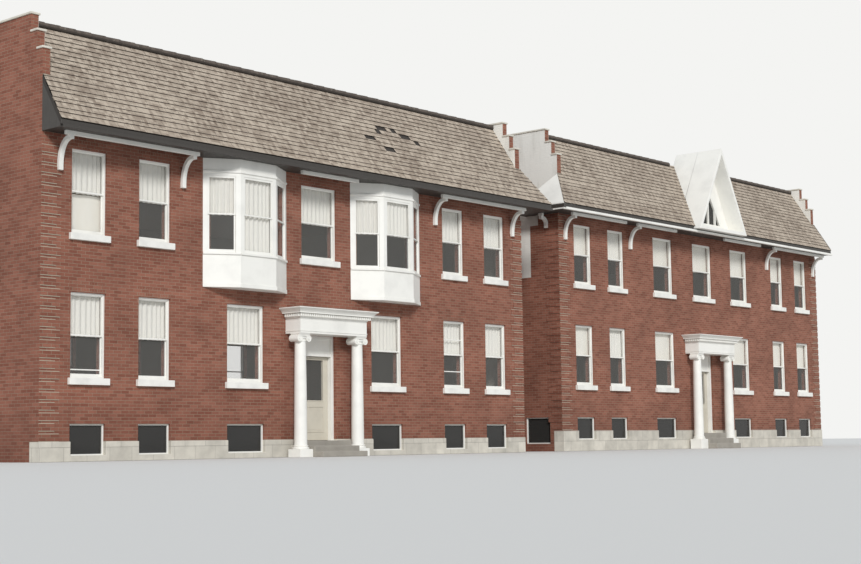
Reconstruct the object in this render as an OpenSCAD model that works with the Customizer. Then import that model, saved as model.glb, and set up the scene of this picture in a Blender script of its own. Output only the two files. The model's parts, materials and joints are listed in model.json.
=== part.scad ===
// Terraced house row: two two-storey brick blocks with tiled front slopes,
// joined by a lower link that stands far back between them.
// The left block carries two canted bay windows, the right one a steep dormer.
// Each block is drawn in its own frame: X along the front from the block's middle,
// Y into the house from the front brick face, Z up from the ground.

/* [Blocks] */
// Width of a block between the outer faces of its end walls
block_w = 17100; // [16000:100:21000]
// Depth of a block between its front and rear brick faces
block_d = 11500; // [9500:100:14000]
// Clear width between the two blocks
gap_w = 2390; // [1900:10:2900]
// How far the right block stands back from the left one
set_back = 330; // [0:10:1600]
// How much higher the floors of the right block lie
level_rise = 226; // [150:2:320]
// Thickness of the brick walls
wall_t = 330; // [275:5:400]

/* [Storeys] */
// Height from floor to floor, and from one row of sills to the next
storey_h = 3200; // [3000:50:3900]
// Underside of the ground-storey sills
sill_z = 1680; // [1600:10:2000]
// Height of a sill stone
sill_h = 150; // [120:5:180]
// Height of a window opening above its sill
window_h = 1895; // [1500:5:1950]
// Height of the windows of the attic at the rear
attic_window_h = 1050; // [800:10:1200]
// Top of the ground floor
floor_z = 1000; // [960:10:1100]
// Thickness of the timber floors
floor_t = 160; // [130:5:200]
// How far the underside of the eaves boarding lies below the attic floor
soffit_drop = 200; // [170:10:250]

/* [Windows] */
// Distance of the outer windows from the end of the block
outer_window_x = 1284; // [1150:2:1500]
// Distance between the middles of the two outer windows
window_pitch = 1874; // [1600:2:2250]
// Distance of the inner windows and bays from the middle of the block
inner_window_x = 2555; // [2400:5:2700]
// Width of the outermost window openings
outer_window_w = 955; // [800:5:1100]
// Width of the next window openings
second_window_w = 935; // [800:5:1080]
// Width of the inner window openings
inner_window_w = 1215; // [1000:5:1400]
// Width of the middle window openings
middle_window_w = 1270; // [1000:5:1450]
// Bottom and top of the basement windows
basement_window_z = [130, 825]; // [100:5:830]
// How far the sills reach past each side of their opening
sill_lug = 70; // [60:5:130]
// How far the sills stand out from the wall
sill_nose = 90; // [60:5:120]
// Width of the members of the window frames
frame_w = 80; // [60:5:100]
// Depth of the window frames, front to back
frame_d = 110; // [90:5:140]
// How far the window frames stand back from the brick face
frame_set = 50; // [20:5:70]
// Thickness of the glass
glass_t = 8; // [4:1:12]

/* [Base and entrance] */
// Top of the stone base of each block, above its own ground datum
base_top = [440, 410]; // [100:10:500]
// How far the stone base stands out from the brick face
base_nose = 50; // [30:5:70]
// Top of the doorstep of each block, above its own ground datum
doorstep_z = [410, 310]; // [200:10:450]
// Width of the doorway in the wall
doorway_w = 1160; // [1100:10:1300]
// Underside of the entablature over each entrance
entablature_z = [3080, 3040]; // [2800:10:3150]
// Height of the entablature
entablature_h = 640; // [560:10:760]
// Sideways place of each entrance, measured from the middle of its block
entrance_x = [0, -60]; // [-150:10:150]
// Distance of each column from the middle of the entrance
column_x = 1030; // [980:10:1200]
// Distance of the column middles in front of the wall
column_y = 340; // [300:5:400]
// Radius of the column shafts at the foot and under the capital
column_r = [165, 140]; // [120:5:180]
// Side of the square block under each column
plinth_w = 440; // [400:5:500]
// Going of a step in front of the door
step_going = 300; // [280:5:350]
// Inside width of the lobby behind each door
lobby_w = 2300; // [2150:10:2500]
// Inside depth of the lobby behind each door
lobby_d = 1600; // [1350:10:1900]

/* [Doors] */
// Height of a door leaf
leaf_h = 2130; // [2000:10:2200]
// Thickness of a door leaf
leaf_t = 45; // [40:1:54]
// Gap between a door leaf and its frame
leaf_gap = 8; // [7:1:10]
// Width of the door frame's side posts
post_w = 90; // [75:1:100]
// Front face of the door leaf behind the brick face
leaf_y = 200; // [160:5:220]
// Bottom and top of the glass panel above the foot of the leaf
door_glass_z = [1010, 2050]; // [1000:10:2050]
// Width of the glass panel in a door leaf
door_glass_w = 620; // [500:5:680]
// Radius of the hinge barrels
barrel_r = 12; // [10:1:14]
// Running gap between a hinge barrel and its plate
hinge_gap = 0.3; // [0.2:0.05:0.5]

/* [Roof] */
// Overhang of the tiles in front of the brick face
eave_over = 680; // [640:5:760]
// Height of the tiles' upper face at the eave edge above the attic floor
eave_rise = 0; // [-20:5:60]
// Distance of the ridge behind the brick face
ridge_y = 900; // [800:10:1300]
// Height of the ridge above the attic floor
ridge_rise = 2430; // [2200:10:3000]
// Vertical thickness of the tiled slope
slope_t = 150; // [120:5:170]
// Thickness of the flat roof behind the ridge
deck_t = 200; // [160:5:240]
// How far the flat roof lies below the ridge
deck_drop = 60; // [40:5:100]
// Height of the coping stones
coping_h = 50; // [40:5:70]
// How far the copings stand out from the walls
coping_over = 30; // [20:5:40]
// Front edges of the parapet steps, measured from the brick face
parapet_y = [0, 210, 450]; // [0:10:700]
// How far the highest parapet stands above the ridge
parapet_rise = 70; // [20:5:120]
// Tops of the parapet steps, measured down from the highest parapet
parapet_drop = [850, 420, 0]; // [0:10:900]
// Thickness of the parapets above the roofs
parapet_t = 200; // [150:5:270]
// How far the eaves turn round the corner beside the link
return_w = 620; // [400:10:680]
// Length of the eaves along the side walls beside the link
return_l = 1250; // [1000:10:1900]

/* [Bays and dormer] */
// Width of a bay at the wall
bay_w = 2770; // [2500:10:2800]
// Width of a bay's front face
bay_front_w = 1170; // [1100:10:1300]
// How far a bay stands out from the wall
bay_out = 470; // [400:10:560]
// Thickness of a bay's timber walls
bay_t = 120; // [100:5:140]
// How far the underside of a bay lies below the upper floor
bay_drop = 120; // [60:5:150]
// Bottom and top of the bay's window openings above the upper floor
bay_window_rise = [730, 2580]; // [600:10:2650]
// Width of the window opening in a bay's front
bay_window_w = 940; // [800:10:960]
// Width of the window openings in a bay's slanted sides
bay_side_w = 680; // [500:10:690]
// Half the width of the dormer's foot
dormer_half = 1590; // [1450:10:1800]
// Height of the dormer's peak above the ridge
dormer_over = 430; // [200:10:600]
// How far the dormer stands out from the brick face
dormer_out = 950; // [850:10:1000]
// Thickness of the dormer's roof planes, measured sideways
dormer_t = 120; // [100:5:280]
// Sideways place of the dormer from the middle of its block
dormer_x = -30; // [-200:10:200]
// Half the width of the dormer window
dormer_window_half = 760; // [600:10:850]
// Foot and peak of the dormer window above the dormer's floor
dormer_window_z = [220, 1400]; // [100:10:1500]
// How far the dormer window stands out from the brick face
dormer_window_set = 350; // [100:10:450]
// Height of the dormer's underside above that of the eaves boarding
dormer_lift = 90; // [90:5:110]
// Thickness of the dormer's boarded foot
dormer_floor_t = 120; // [80:5:140]

/* [Eaves trim] */
// Height and depth of the square eaves beam
beam_w = 90; // [70:5:100]
// Distance of the beam's middle in front of the wall
beam_y = 430; // [390:5:470]
// Width of a bracket
bracket_w = 110; // [70:5:120]
// Height of a bracket on the wall
bracket_h = 700; // [600:10:800]
// Depth of the gutter
gutter_w = 110; // [90:5:130]
// Thickness of the gutter's metal
gutter_t = 8; // [5:1:10]
// Thickness of the soffit and fascia boards
board_t = 30; // [20:1:35]
// Distance of the side brackets' beam from the side wall, to its outer face
side_reach = 350; // [300:5:400]
// Height of the small bracket beside the link
side_bracket_h = 320; // [280:10:700]

/* [Link] */
// Front brick face of the link behind the left block's front
link_y = 3200; // [2900:10:3900]
// Depth of the link
link_d = 6400; // [5400:50:7600]
// Width of the windows in the link
link_window_w = 1100; // [900:10:1300]
// Height of the link's low parapets above the eaves boarding
link_parapet = 400; // [300:10:500]

/* [Hidden] */

// Indices of the two blocks
LEFT = 0;
RIGHT = 1;

// Levels and places that follow from the sizes above
half_w = block_w / 2;
block_pitch = block_w + gap_w;
inner_half = half_w - wall_t;
upper_floor_z = floor_z + storey_h;
attic_floor_z = upper_floor_z + storey_h;
wall_top = attic_floor_z - floor_t;
attic_sill_z = sill_z + 2 * storey_h;
soffit_z = attic_floor_z - soffit_drop;
eave_z = attic_floor_z + eave_rise;
ridge_z = attic_floor_z + ridge_rise;
slope_rate = (ridge_z - eave_z) / (ridge_y + eave_over);
deck_top = ridge_z - deck_drop;
parapet_top = ridge_z + parapet_rise;
round_fn = 48;
past = 10;
joint_gap = 0.5;

// Size of the whole row, which stands over the origin
row_w = block_pitch + block_w;
step_count = 3;
steps_out = step_going * step_count;
row_d = steps_out + set_back + block_d + sill_nose;
row_mid = [block_pitch / 2, row_d / 2 - steps_out];
step_run = (steps_out - base_nose) / step_count;
function stair_z(b, i) = -b * level_rise
    + (doorstep_z[b] + b * level_rise) * (step_count - i) / step_count;

// Upper and lower faces of the tiled slope at a distance behind the brick face
function slope_top(y) = eave_z + (y + eave_over) * slope_rate;
function slope_under(y) = slope_top(y) - slope_t;

// Windows as [middle, width], and openings as [middle, width, bottom, top]
outer_x = half_w - outer_window_x;
second_x = outer_x - window_pitch;
function flank_windows() = [for (s = [-1, 1]) each [
    [s * outer_x, outer_window_w],
    [s * second_x, second_window_w]]];
function inner_windows() = [for (s = [-1, 1]) [s * inner_window_x, inner_window_w]];
middle_window = [0, middle_window_w];
function raised(windows, z, h) = [for (w = windows) [w[0], w[1], z, z + sill_h + h]];
function row_of(z) = raised(concat(flank_windows(), inner_windows(), [middle_window]), z, window_h);
ground_openings = raised(concat(flank_windows(), inner_windows()), sill_z, window_h);
basement_openings = [for (w = ground_openings)
    [w[0], w[1], basement_window_z[0], basement_window_z[1]]];
upper_openings = [
    raised(concat(flank_windows(), [middle_window]), sill_z + storey_h, window_h),
    row_of(sill_z + storey_h)];
attic_openings = raised([for (w = concat(flank_windows(), inner_windows()))
    if (abs(w[0]) != second_x) w], attic_sill_z, attic_window_h);
rear_openings = concat(row_of(sill_z), row_of(sill_z + storey_h), attic_openings);
link_mid = [block_pitch / 2, link_y];
link_openings = [for (z = [sill_z, sill_z + storey_h])
    [0, link_window_w, z, z + sill_h + window_h]];

// Basement window in the side wall of the right block
side_window_z = [10, 830];
side_window_y = [470, 1420];
side_window_w = side_window_y[1] - side_window_y[0];

// Canted bays: plan, the openings in the wall behind them, and their window frames
bay_cant_x = (bay_w - bay_front_w) / 2;
bay_cant_angle = atan2(bay_out, bay_cant_x);
bay_doorway_w = bay_w - 4 * bay_t;
bay_z = upper_floor_z - bay_drop;
bay_window_z = [upper_floor_z + bay_window_rise[0], upper_floor_z + bay_window_rise[1]];
bay_lintel_rise = 120;
bay_head_z = bay_window_z[1] + bay_lintel_rise;
bay_frame_w = 45;
bay_frame_d = 50;
bay_frame_set = 10;

// Dormer and link
dormer_foot = soffit_z + dormer_lift;
dormer_floor = dormer_foot + dormer_floor_t;
dormer_top = ridge_z + dormer_over;
dormer_window_y = [-dormer_window_set, -dormer_window_set + 70];
dormer_rate = (dormer_top - dormer_foot) / dormer_half;
link_top = soffit_z + link_parapet;

// Door leaf, hinge and frame
leaf_w = doorway_w - 2 * post_w - 2 * leaf_gap;
leaf_edge = leaf_w / 2;
leaf_back = leaf_y + leaf_t;
leaf_lift = 8;
frame_front = 80;
frame_back = leaf_back - 10;
barrel_out = 0.6;
barrel_y = leaf_back + barrel_out * barrel_r;
barrel_h = 100;
barrel_zs = [250, 1050, 1850];
knob_r = 28;
knob_z = 1020;
knob_inset = 75;
knob_out = 50;

// Box between two places along each axis
module block_of(x, y, z) {
    translate([x[0], y[0], z[0]]) cube([x[1] - x[0], y[1] - y[0], z[1] - z[0]]);
}

// Outline in Y and Z, drawn out along X
module along_x(x) {
    translate([x[0], 0, 0]) rotate([90, 0, 90]) linear_extrude(x[1] - x[0]) children();
}

// Outline in X and Z, drawn out along Y
module along_y(y) {
    translate([0, y[1], 0]) rotate([90, 0, 0]) linear_extrude(y[1] - y[0]) children();
}

// Frame of one block, and the same frame seen from the rear
module in_block(b) {
    translate([b * block_pitch - row_mid[0], b * set_back - row_mid[1], b * level_rise]) children();
}
module in_rear(b) {
    in_block(b) translate([0, block_d, 0]) mirror([0, 1, 0]) children();
}
// Frame of the link's front, and of its rear
module in_link() {
    translate([link_mid[0] - row_mid[0], link_mid[1] - row_mid[1], 0]) children();
}
module in_link_rear() {
    in_link() translate([0, link_d, 0]) mirror([0, 1, 0]) children();
}
// Frame of an entrance, with its middle at X = 0
module in_entrance(b) {
    in_block(b) translate([entrance_x[b], 0, 0]) children();
}

// Cuts for a list of openings through a wall whose outer face is at Y = 0
module opening_cuts(openings) {
    for (o = openings)
        block_of([o[0] - o[1] / 2, o[0] + o[1] / 2], [-past - base_nose, wall_t + past], [o[2], o[3]]);
}

// Cut for the doorway of a block
module doorway_cut(b) {
    block_of([entrance_x[b] - doorway_w / 2, entrance_x[b] + doorway_w / 2],
        [-base_nose - past, wall_t + past], [doorstep_z[b], entablature_z[b]]);
}

// Cuts for the people-high openings behind the bays
module bay_cuts() {
    for (s = [-1, 1])
        block_of([s * inner_window_x - bay_doorway_w / 2, s * inner_window_x + bay_doorway_w / 2],
            [-past, wall_t + past], [upper_floor_z, bay_head_z]);
}

// Front wall between two places, with all its openings
module front_wall(b, x) {
    color("firebrick") in_block(b) difference() {
        block_of(x, [0, wall_t], [base_top[b], wall_top]);
        opening_cuts(concat(basement_openings, ground_openings, upper_openings[b]));
        if (b == LEFT) bay_cuts();
    }
}
module front_wall_a(b) { front_wall(b, [-inner_half, entrance_x[b] - doorway_w / 2]); }
module front_wall_b(b) { front_wall(b, [entrance_x[b] + doorway_w / 2, inner_half]); }
module wall_over_door(b) {
    color("firebrick") in_block(b) difference() {
        block_of([entrance_x[b] - doorway_w / 2, entrance_x[b] + doorway_w / 2],
            [0, wall_t], [entablature_z[b], wall_top]);
        opening_cuts(upper_openings[b]);
    }
}

// Rear wall, up to its coping
module rear_wall(b) {
    color("firebrick") in_rear(b) {
        difference() {
            block_of([-inner_half, inner_half], [0, wall_t], [-b * level_rise, deck_top]);
            opening_cuts(rear_openings);
        }
        block_of([-half_w + parapet_t, half_w - parapet_t], [0, wall_t], [deck_top, parapet_top]);
    }
}

// End wall with its thinner stepped parapet; side is -1 on the left and 1 on the right
function end_x(side, t) = side < 0 ? [-half_w, -half_w + t] : [half_w - t, half_w];
module end_wall(b, side) {
    steps = [for (i = [0 : len(parapet_y) - 1]) parapet_top - parapet_drop[i]];
    foot = [[0, base_top[b]], [wall_t, base_top[b]], [wall_t, -b * level_rise],
        [block_d, -b * level_rise]];
    color("firebrick") in_block(b) {
        along_x(end_x(side, wall_t)) polygon(concat(foot, [[block_d, deck_top],
            [ridge_y, deck_top], [ridge_y, ridge_z], [0, slope_top(0)]]));
        along_x(end_x(side, parapet_t)) polygon(concat(foot, [[block_d, steps[2]],
            [parapet_y[2], steps[2]], [parapet_y[2], steps[1]], [parapet_y[1], steps[1]],
            [parapet_y[1], steps[0]], [parapet_y[0], steps[0]]]));
    }
}
module left_party_wall() { end_wall(LEFT, -1); }
module left_side_wall() { end_wall(LEFT, 1); }
module right_side_wall() {
    difference() {
        end_wall(RIGHT, -1);
        in_block(RIGHT) block_of([-half_w - past, -inner_half + past], side_window_y, side_window_z);
    }
}
module right_party_wall() { end_wall(RIGHT, 1); }

// Stone bases under the front walls, cut by the basement windows and the doorways
module stone_bases() {
    color("lightgray") for (b = [LEFT, RIGHT]) in_block(b) difference() {
        block_of([-half_w, half_w], [-base_nose, wall_t], [-b * level_rise, base_top[b]]);
        opening_cuts(basement_openings);
        doorway_cut(b);
    }
}

// Ground, upper and attic floors; the ground floor leaves out the lobby
module floors(b) {
    color("burlywood") in_block(b) {
        difference() {
            block_of([-inner_half, inner_half], [wall_t, block_d - wall_t], [floor_z - floor_t, floor_z]);
            block_of([entrance_x[b] - lobby_w / 2, entrance_x[b] + lobby_w / 2],
                [wall_t - past, wall_t + lobby_d], [floor_z - floor_t - past, floor_z + past]);
        }
        block_of([-inner_half, inner_half], [wall_t, block_d - wall_t],
            [upper_floor_z - floor_t, upper_floor_z]);
        block_of([-inner_half, inner_half], [0, block_d - wall_t],
            [attic_floor_z - floor_t, attic_floor_z]);
    }
}

// Lowered lobby behind a door: a floor with low walls up to the ground floor
module lobby(b) {
    lining = 100;
    color("gray") in_entrance(b) difference() {
        block_of([-lobby_w / 2 - lining, lobby_w / 2 + lining], [wall_t, wall_t + lobby_d + lining],
            [doorstep_z[b] - floor_t, floor_z - floor_t]);
        block_of([-lobby_w / 2, lobby_w / 2], [wall_t - past, wall_t + lobby_d],
            [doorstep_z[b], floor_z]);
    }
}
module entrance_lobbies() { for (b = [LEFT, RIGHT]) lobby(b); }

// Flat roofs behind the ridges and over the link
module flat_roofs() {
    color("dimgray") {
        for (b = [LEFT, RIGHT]) in_block(b)
            block_of([-inner_half, inner_half], [ridge_y, block_d - wall_t],
                [deck_top - deck_t, deck_top]);
        in_link() block_of([-gap_w / 2, gap_w / 2], [wall_t, link_d - wall_t],
            [soffit_z - deck_t, soffit_z]);
    }
}

// Outline of the tiled slope from one place to another
module slope_outline(y) {
    polygon([[y[0], slope_under(y[0])], [y[1], slope_under(y[1])],
        [y[1], slope_top(y[1])], [y[0], slope_top(y[0])]]);
}

// Eaves that turn round the corner beside the link, as one boxed piece with a small hip
module eave_return(side) {
    intersection() {
        along_y([-eave_over, return_l]) polygon([
            [side * half_w, soffit_z], [side * (half_w + return_w), soffit_z],
            [side * (half_w + return_w), eave_z], [side * half_w, slope_top(0)]]);
        along_x(side > 0 ? [half_w, half_w + return_w] : [-half_w - return_w, -half_w])
            polygon([[-eave_over, soffit_z], [return_l, soffit_z],
                [return_l, eave_z], [0, slope_top(0)], [-eave_over, eave_z]]);
    }
}

// Tiled front slope, with the part before the end walls as wide as the block
module tiled_slope(b) {
    color("saddlebrown") in_block(b) difference() {
        union() {
            along_x([-inner_half, inner_half]) slope_outline([-eave_over, ridge_y]);
            along_x([-half_w, half_w]) slope_outline([-eave_over, 0]);
        }
        if (b == RIGHT) dormer_body([-eave_over - past, ridge_y + past], -joint_gap);
    }
}

// Top of the boards under the tiled slope, a hair clear of it
function board_top(y) = slope_under(y) - joint_gap;

// Side of each block that faces the link
function link_side(b) = b == LEFT ? 1 : -1;
function eave_span(b) = b == LEFT ? [-half_w, half_w + return_w] : [-half_w - return_w, half_w];

// Soffit and fascia boards, boards that close both ends, gutter, and the eaves beside the link
module eaves(b) {
    tile_lap = 20;
    face = -eave_over + tile_lap;
    back = face + board_t;
    gutter_z = [soffit_z - tile_lap, eave_z - slope_t];
    color(b == LEFT ? "darkslategray" : "white") in_block(b) {
        along_x([-half_w, half_w]) polygon([
            [0, soffit_z], [0, soffit_z + board_t], [back, soffit_z + board_t],
            [back, board_top(face)], [face, board_top(face)], [face, soffit_z]]);
        for (x = [-half_w, half_w - board_t])
            along_x([x, x + board_t]) polygon([
                [0, soffit_z], [0, board_top(0)], [face, board_top(face)], [face, soffit_z]]);
        eave_return(link_side(b));
        along_x(eave_span(b)) polygon([
            [face, gutter_z[0]], [face, gutter_z[1]], [face - gutter_t, gutter_z[1]],
            [face - gutter_t, gutter_z[0] + gutter_t],
            [face - gutter_w + gutter_t, gutter_z[0] + gutter_t],
            [face - gutter_w + gutter_t, gutter_z[1]], [face - gutter_w, gutter_z[1]],
            [face - gutter_w, gutter_z[0]]]);
    }
}

// Curved bracket under the eaves at a place along the wall: a foot, a quarter arch and a seat
module bracket(x, reach, h = bracket_h) {
    arm = 90;
    foot_h = 120;
    steps = 10;
    seat = reach - beam_w;
    rise = h - beam_w;
    foot = soffit_z - h;
    function arch(y, z) = [for (i = [0 : steps])
        [-seat + y * cos(90 * i / steps), foot + z * sin(90 * i / steps)]];
    inner = arch(seat - arm, rise - arm);
    along_x([x - bracket_w / 2, x + bracket_w / 2]) polygon(concat(
        [[0, foot - foot_h]], arch(seat, rise),
        [[-reach, foot + rise], [-reach, foot + rise - arm]],
        [for (i = [steps : -1 : 0]) inner[i]],
        [[-arm, foot - foot_h]]));
}

// Square beam between two places, under the soffit
module eaves_beam(x, reach) {
    block_of(x, [-reach, -reach + beam_w], [soffit_z - beam_w, soffit_z]);
}

// Brackets and beams: over the bays and the dormer the beam stops beside them
module eaves_brackets() {
    reach = beam_y + beam_w / 2;
    left_corner = half_w - 460;
    right_corner = half_w - 300;
    beside_bay = inner_window_x + bay_w / 2 + 640;
    outer_end = 5390;
    inner_end = 2340;
    dormer_beam = [850, 3430];
    overhang = 150;
    middle_half = 1030;
    side_y = 440;
    side_half = 80;
    color("white") {
        in_block(LEFT) {
            for (s = [-1, 1], x = [left_corner, beside_bay]) bracket(s * x, reach);
            eaves_beam([-left_corner - overhang, -beside_bay + overhang], reach);
            eaves_beam([beside_bay - overhang, left_corner + overhang], reach);
            eaves_beam([-middle_half, middle_half], reach);
        }
        in_block(RIGHT) {
            for (s = [-1, 1], x = [right_corner, beside_bay]) bracket(s * x, reach);
            eaves_beam([-right_corner - overhang, -outer_end], reach);
            eaves_beam([-beside_bay - overhang, -inner_end], reach);
            eaves_beam(dormer_beam, reach);
            eaves_beam([beside_bay - overhang, right_corner + overhang], reach);
        }
        for (b = [LEFT, RIGHT])
            in_block(b) translate([link_side(b) * half_w, side_y, 0]) rotate([0, 0, link_side(b) * 90]) {
                bracket(0, side_reach, side_bracket_h);
                eaves_beam([-side_half, side_half], side_reach);
            }
    }
}

// Copings on the stepped parapets, the rear walls and the link
module end_coping(side) {
    bare = end_x(side, parapet_t);
    x = [bare[0] - coping_over, bare[1] + coping_over];
    ends = [parapet_y[1], parapet_y[2], block_d + coping_over];
    for (i = [0 : len(parapet_y) - 1])
        block_of(x, [parapet_y[i] - coping_over, ends[i]],
            [parapet_top - parapet_drop[i], parapet_top - parapet_drop[i] + coping_h]);
}
module parapet_copings() {
    rear_half = half_w - parapet_t - coping_over - joint_gap;
    color("gainsboro") {
        for (b = [LEFT, RIGHT]) {
            in_block(b) for (s = [-1, 1]) end_coping(s);
            in_rear(b) block_of([-rear_half, rear_half], [-coping_over, wall_t + coping_over],
                [parapet_top, parapet_top + coping_h]);
        }
        for (y = [0, link_d - wall_t])
            in_link() block_of([-gap_w / 2, gap_w / 2], [y - coping_over, y + wall_t + coping_over],
                [link_top, link_top + coping_h]);
    }
}

// Plan of a bay, drawn in from its outer faces
function bay_half(t) = bay_w / 2 - t * sqrt(pow(bay_out, 2) + pow(bay_cant_x, 2)) / bay_out;
function bay_front(t) = bay_half(t) - (bay_out - t) * bay_cant_x / bay_out;
module bay_plan(t) {
    polygon([[-bay_half(t), 0], [-bay_front(t), -bay_out + t],
        [bay_front(t), -bay_out + t], [bay_half(t), 0]]);
}

// Frames of a bay's three faces: the front, and the slanted side to the left or right
module at_bay_face(face) {
    if (face == 0) translate([0, -bay_out, 0]) children();
    else translate([face * (bay_front_w / 2 + bay_cant_x / 2), -bay_out / 2, 0])
        rotate([0, 0, face * bay_cant_angle]) children();
}
function bay_opening_w(face) = face == 0 ? bay_window_w : bay_side_w;

// Timber shell of a bay, with a floor and its three window openings
module bay_window(x) {
    top = soffit_z;
    floor_top = upper_floor_z;
    color("white") in_block(LEFT) translate([x, 0, 0]) difference() {
        translate([0, 0, bay_z]) linear_extrude(top - bay_z) bay_plan(0);
        translate([0, 0, floor_top]) linear_extrude(top - floor_top + past) bay_plan(bay_t);
        for (face = [-1, 0, 1])
            at_bay_face(face) block_of([-bay_opening_w(face) / 2, bay_opening_w(face) / 2],
                [-past, bay_t + past], bay_window_z);
    }
}

// One double-hung window: a frame with a meeting rail, its outer face at Y = 0
module sash_frame(w, z, member, depth) {
    rail = 50;
    mid = (z[0] + z[1]) / 2;
    difference() {
        block_of([-w / 2, w / 2], [0, depth], z);
        block_of([-w / 2 + member, w / 2 - member], [-past, depth + past], [z[0] + member, mid - rail / 2]);
        block_of([-w / 2 + member, w / 2 - member], [-past, depth + past], [mid + rail / 2, z[1] - member]);
    }
}
module at_each_bay_face() {
    in_block(LEFT) for (s = [-1, 1], face = [-1, 0, 1])
        translate([s * inner_window_x, 0, 0]) at_bay_face(face)
            translate([0, bay_frame_set, 0]) {
                $bay_opening = bay_opening_w(face);
                children();
            }
}
module bay_sashes() {
    color("white") at_each_bay_face() sash_frame($bay_opening, bay_window_z, bay_frame_w, bay_frame_d);
}
module bay_glass() {
    color("lightblue") at_each_bay_face()
        block_of([-$bay_opening / 2, $bay_opening / 2], [bay_frame_d, bay_frame_d + glass_t], bay_window_z);
}

// Sill: a nose before the wall and a bed inside the opening
module sill(o) {
    bed = frame_set + frame_d + glass_t;
    z = [o[2], o[2] + sill_h];
    block_of([o[0] - o[1] / 2 - sill_lug, o[0] + o[1] / 2 + sill_lug], [-sill_nose, 0], z);
    block_of([o[0] - o[1] / 2, o[0] + o[1] / 2], [-past, bed], z);
}
module window_sills() {
    color("white") {
        for (b = [LEFT, RIGHT]) {
            in_block(b) for (o = concat(ground_openings, upper_openings[b])) sill(o);
            in_rear(b) for (o = rear_openings) sill(o);
        }
        in_link() for (o = link_openings) sill(o);
        in_link_rear() for (o = link_openings) sill(o);
    }
}

// Frames and glass for a list of openings that have sills
module frames_in(openings) {
    for (o = openings) translate([o[0], frame_set, 0])
        sash_frame(o[1], [o[2] + sill_h, o[3]], frame_w, frame_d);
}
module glass_in(openings) {
    for (o = openings)
        block_of([o[0] - o[1] / 2, o[0] + o[1] / 2],
            [frame_set + frame_d, frame_set + frame_d + glass_t], [o[2] + sill_h, o[3]]);
}

// Low window without a sill, for the basement
module low_frame(w, z) {
    difference() {
        block_of([-w / 2, w / 2], [0, frame_d], z);
        block_of([-w / 2 + frame_w, w / 2 - frame_w], [-past, frame_d + past],
            [z[0] + frame_w, z[1] - frame_w]);
    }
}
module in_side_window() {
    in_block(RIGHT) translate([-half_w, (side_window_y[0] + side_window_y[1]) / 2, 0])
        rotate([0, 0, -90]) children();
}

module front_window_frames() {
    color("white") {
        for (b = [LEFT, RIGHT]) in_block(b) {
            frames_in(concat(ground_openings, upper_openings[b]));
            for (o = basement_openings) translate([o[0], frame_set, 0]) low_frame(o[1], [o[2], o[3]]);
        }
        in_link() frames_in(link_openings);
        in_side_window() translate([0, frame_set, 0]) low_frame(side_window_w, side_window_z);
    }
}
module rear_window_frames() {
    color("white") {
        for (b = [LEFT, RIGHT]) in_rear(b) frames_in(rear_openings);
        in_link_rear() frames_in(link_openings);
    }
}
module front_window_glass() {
    low_y = [frame_set + frame_d, frame_set + frame_d + glass_t];
    color("lightblue") {
        for (b = [LEFT, RIGHT]) in_block(b) {
            glass_in(concat(ground_openings, upper_openings[b]));
            for (o = basement_openings) block_of([o[0] - o[1] / 2, o[0] + o[1] / 2], low_y, [o[2], o[3]]);
        }
        in_link() glass_in(link_openings);
        in_side_window() block_of([-side_window_w / 2, side_window_w / 2], low_y, side_window_z);
    }
}
module rear_window_glass() {
    color("lightblue") {
        for (b = [LEFT, RIGHT]) in_rear(b) glass_in(rear_openings);
        in_link_rear() glass_in(link_openings);
    }
}

// Column on its plinth, with a plain base ring and capital
module column(b) {
    ring_h = 100;
    ring_out = 35;
    collar_h = 80;
    scroll_h = 150;
    scroll_out = 20;
    foot = doorstep_z[b] - 110;
    top = entablature_z[b];
    neck = top - scroll_h - collar_h;
    scroll = [column_r[0] + scroll_out, column_r[0]];
    translate([0, -column_y, 0]) {
        block_of([-plinth_w / 2, plinth_w / 2], [-plinth_w / 2, plinth_w / 2],
            [-b * level_rise, foot - ring_h]);
        translate([0, 0, foot - ring_h])
            cylinder(h = ring_h, r = column_r[0] + ring_out, $fn = round_fn);
        translate([0, 0, foot]) cylinder(h = neck - foot, r1 = column_r[0], r2 = column_r[1], $fn = round_fn);
        translate([0, 0, neck]) cylinder(h = collar_h, r = column_r[1] + scroll_out, $fn = round_fn);
        block_of([-scroll[0], scroll[0]], [-scroll[1], scroll[1]], [top - scroll_h, top]);
    }
}
module portico_columns() {
    color("white") for (b = [LEFT, RIGHT], s = [-1, 1])
        in_entrance(b) translate([s * column_x, 0, 0]) column(b);
}

// Entablatures: frieze, dentil band, and a cornice in two steps.
// Each course is its start as a share of the height, and how far it stands out from the frieze
module entablatures() {
    frieze = [column_x + 175, column_y + 190];
    courses = [[0, 0], [0.52, 50], [0.66, 180], [0.84, 230], [1, 0]];
    color("white") for (b = [LEFT, RIGHT]) in_entrance(b) for (i = [0 : len(courses) - 2])
        block_of([-frieze[0] - courses[i][1], frieze[0] + courses[i][1]],
            [-frieze[1] - courses[i][1], 0],
            [entablature_z[b] + entablature_h * courses[i][0],
                entablature_z[b] + entablature_h * courses[i + 1][0]]);
}

// Steps between the columns, down to the ground
module entrance_steps() {
    step_half = column_x - plinth_w / 2;
    color("silver") for (b = [LEFT, RIGHT]) in_entrance(b)
        along_x([-step_half, step_half]) polygon(concat(
            [[-base_nose, -b * level_rise]],
            [for (i = [0 : step_count - 1]) each [
                [-base_nose - i * step_run, stair_z(b, i)],
                [-base_nose - (i + 1) * step_run, stair_z(b, i)]]],
            [[-steps_out, -b * level_rise]]));
}

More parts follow.
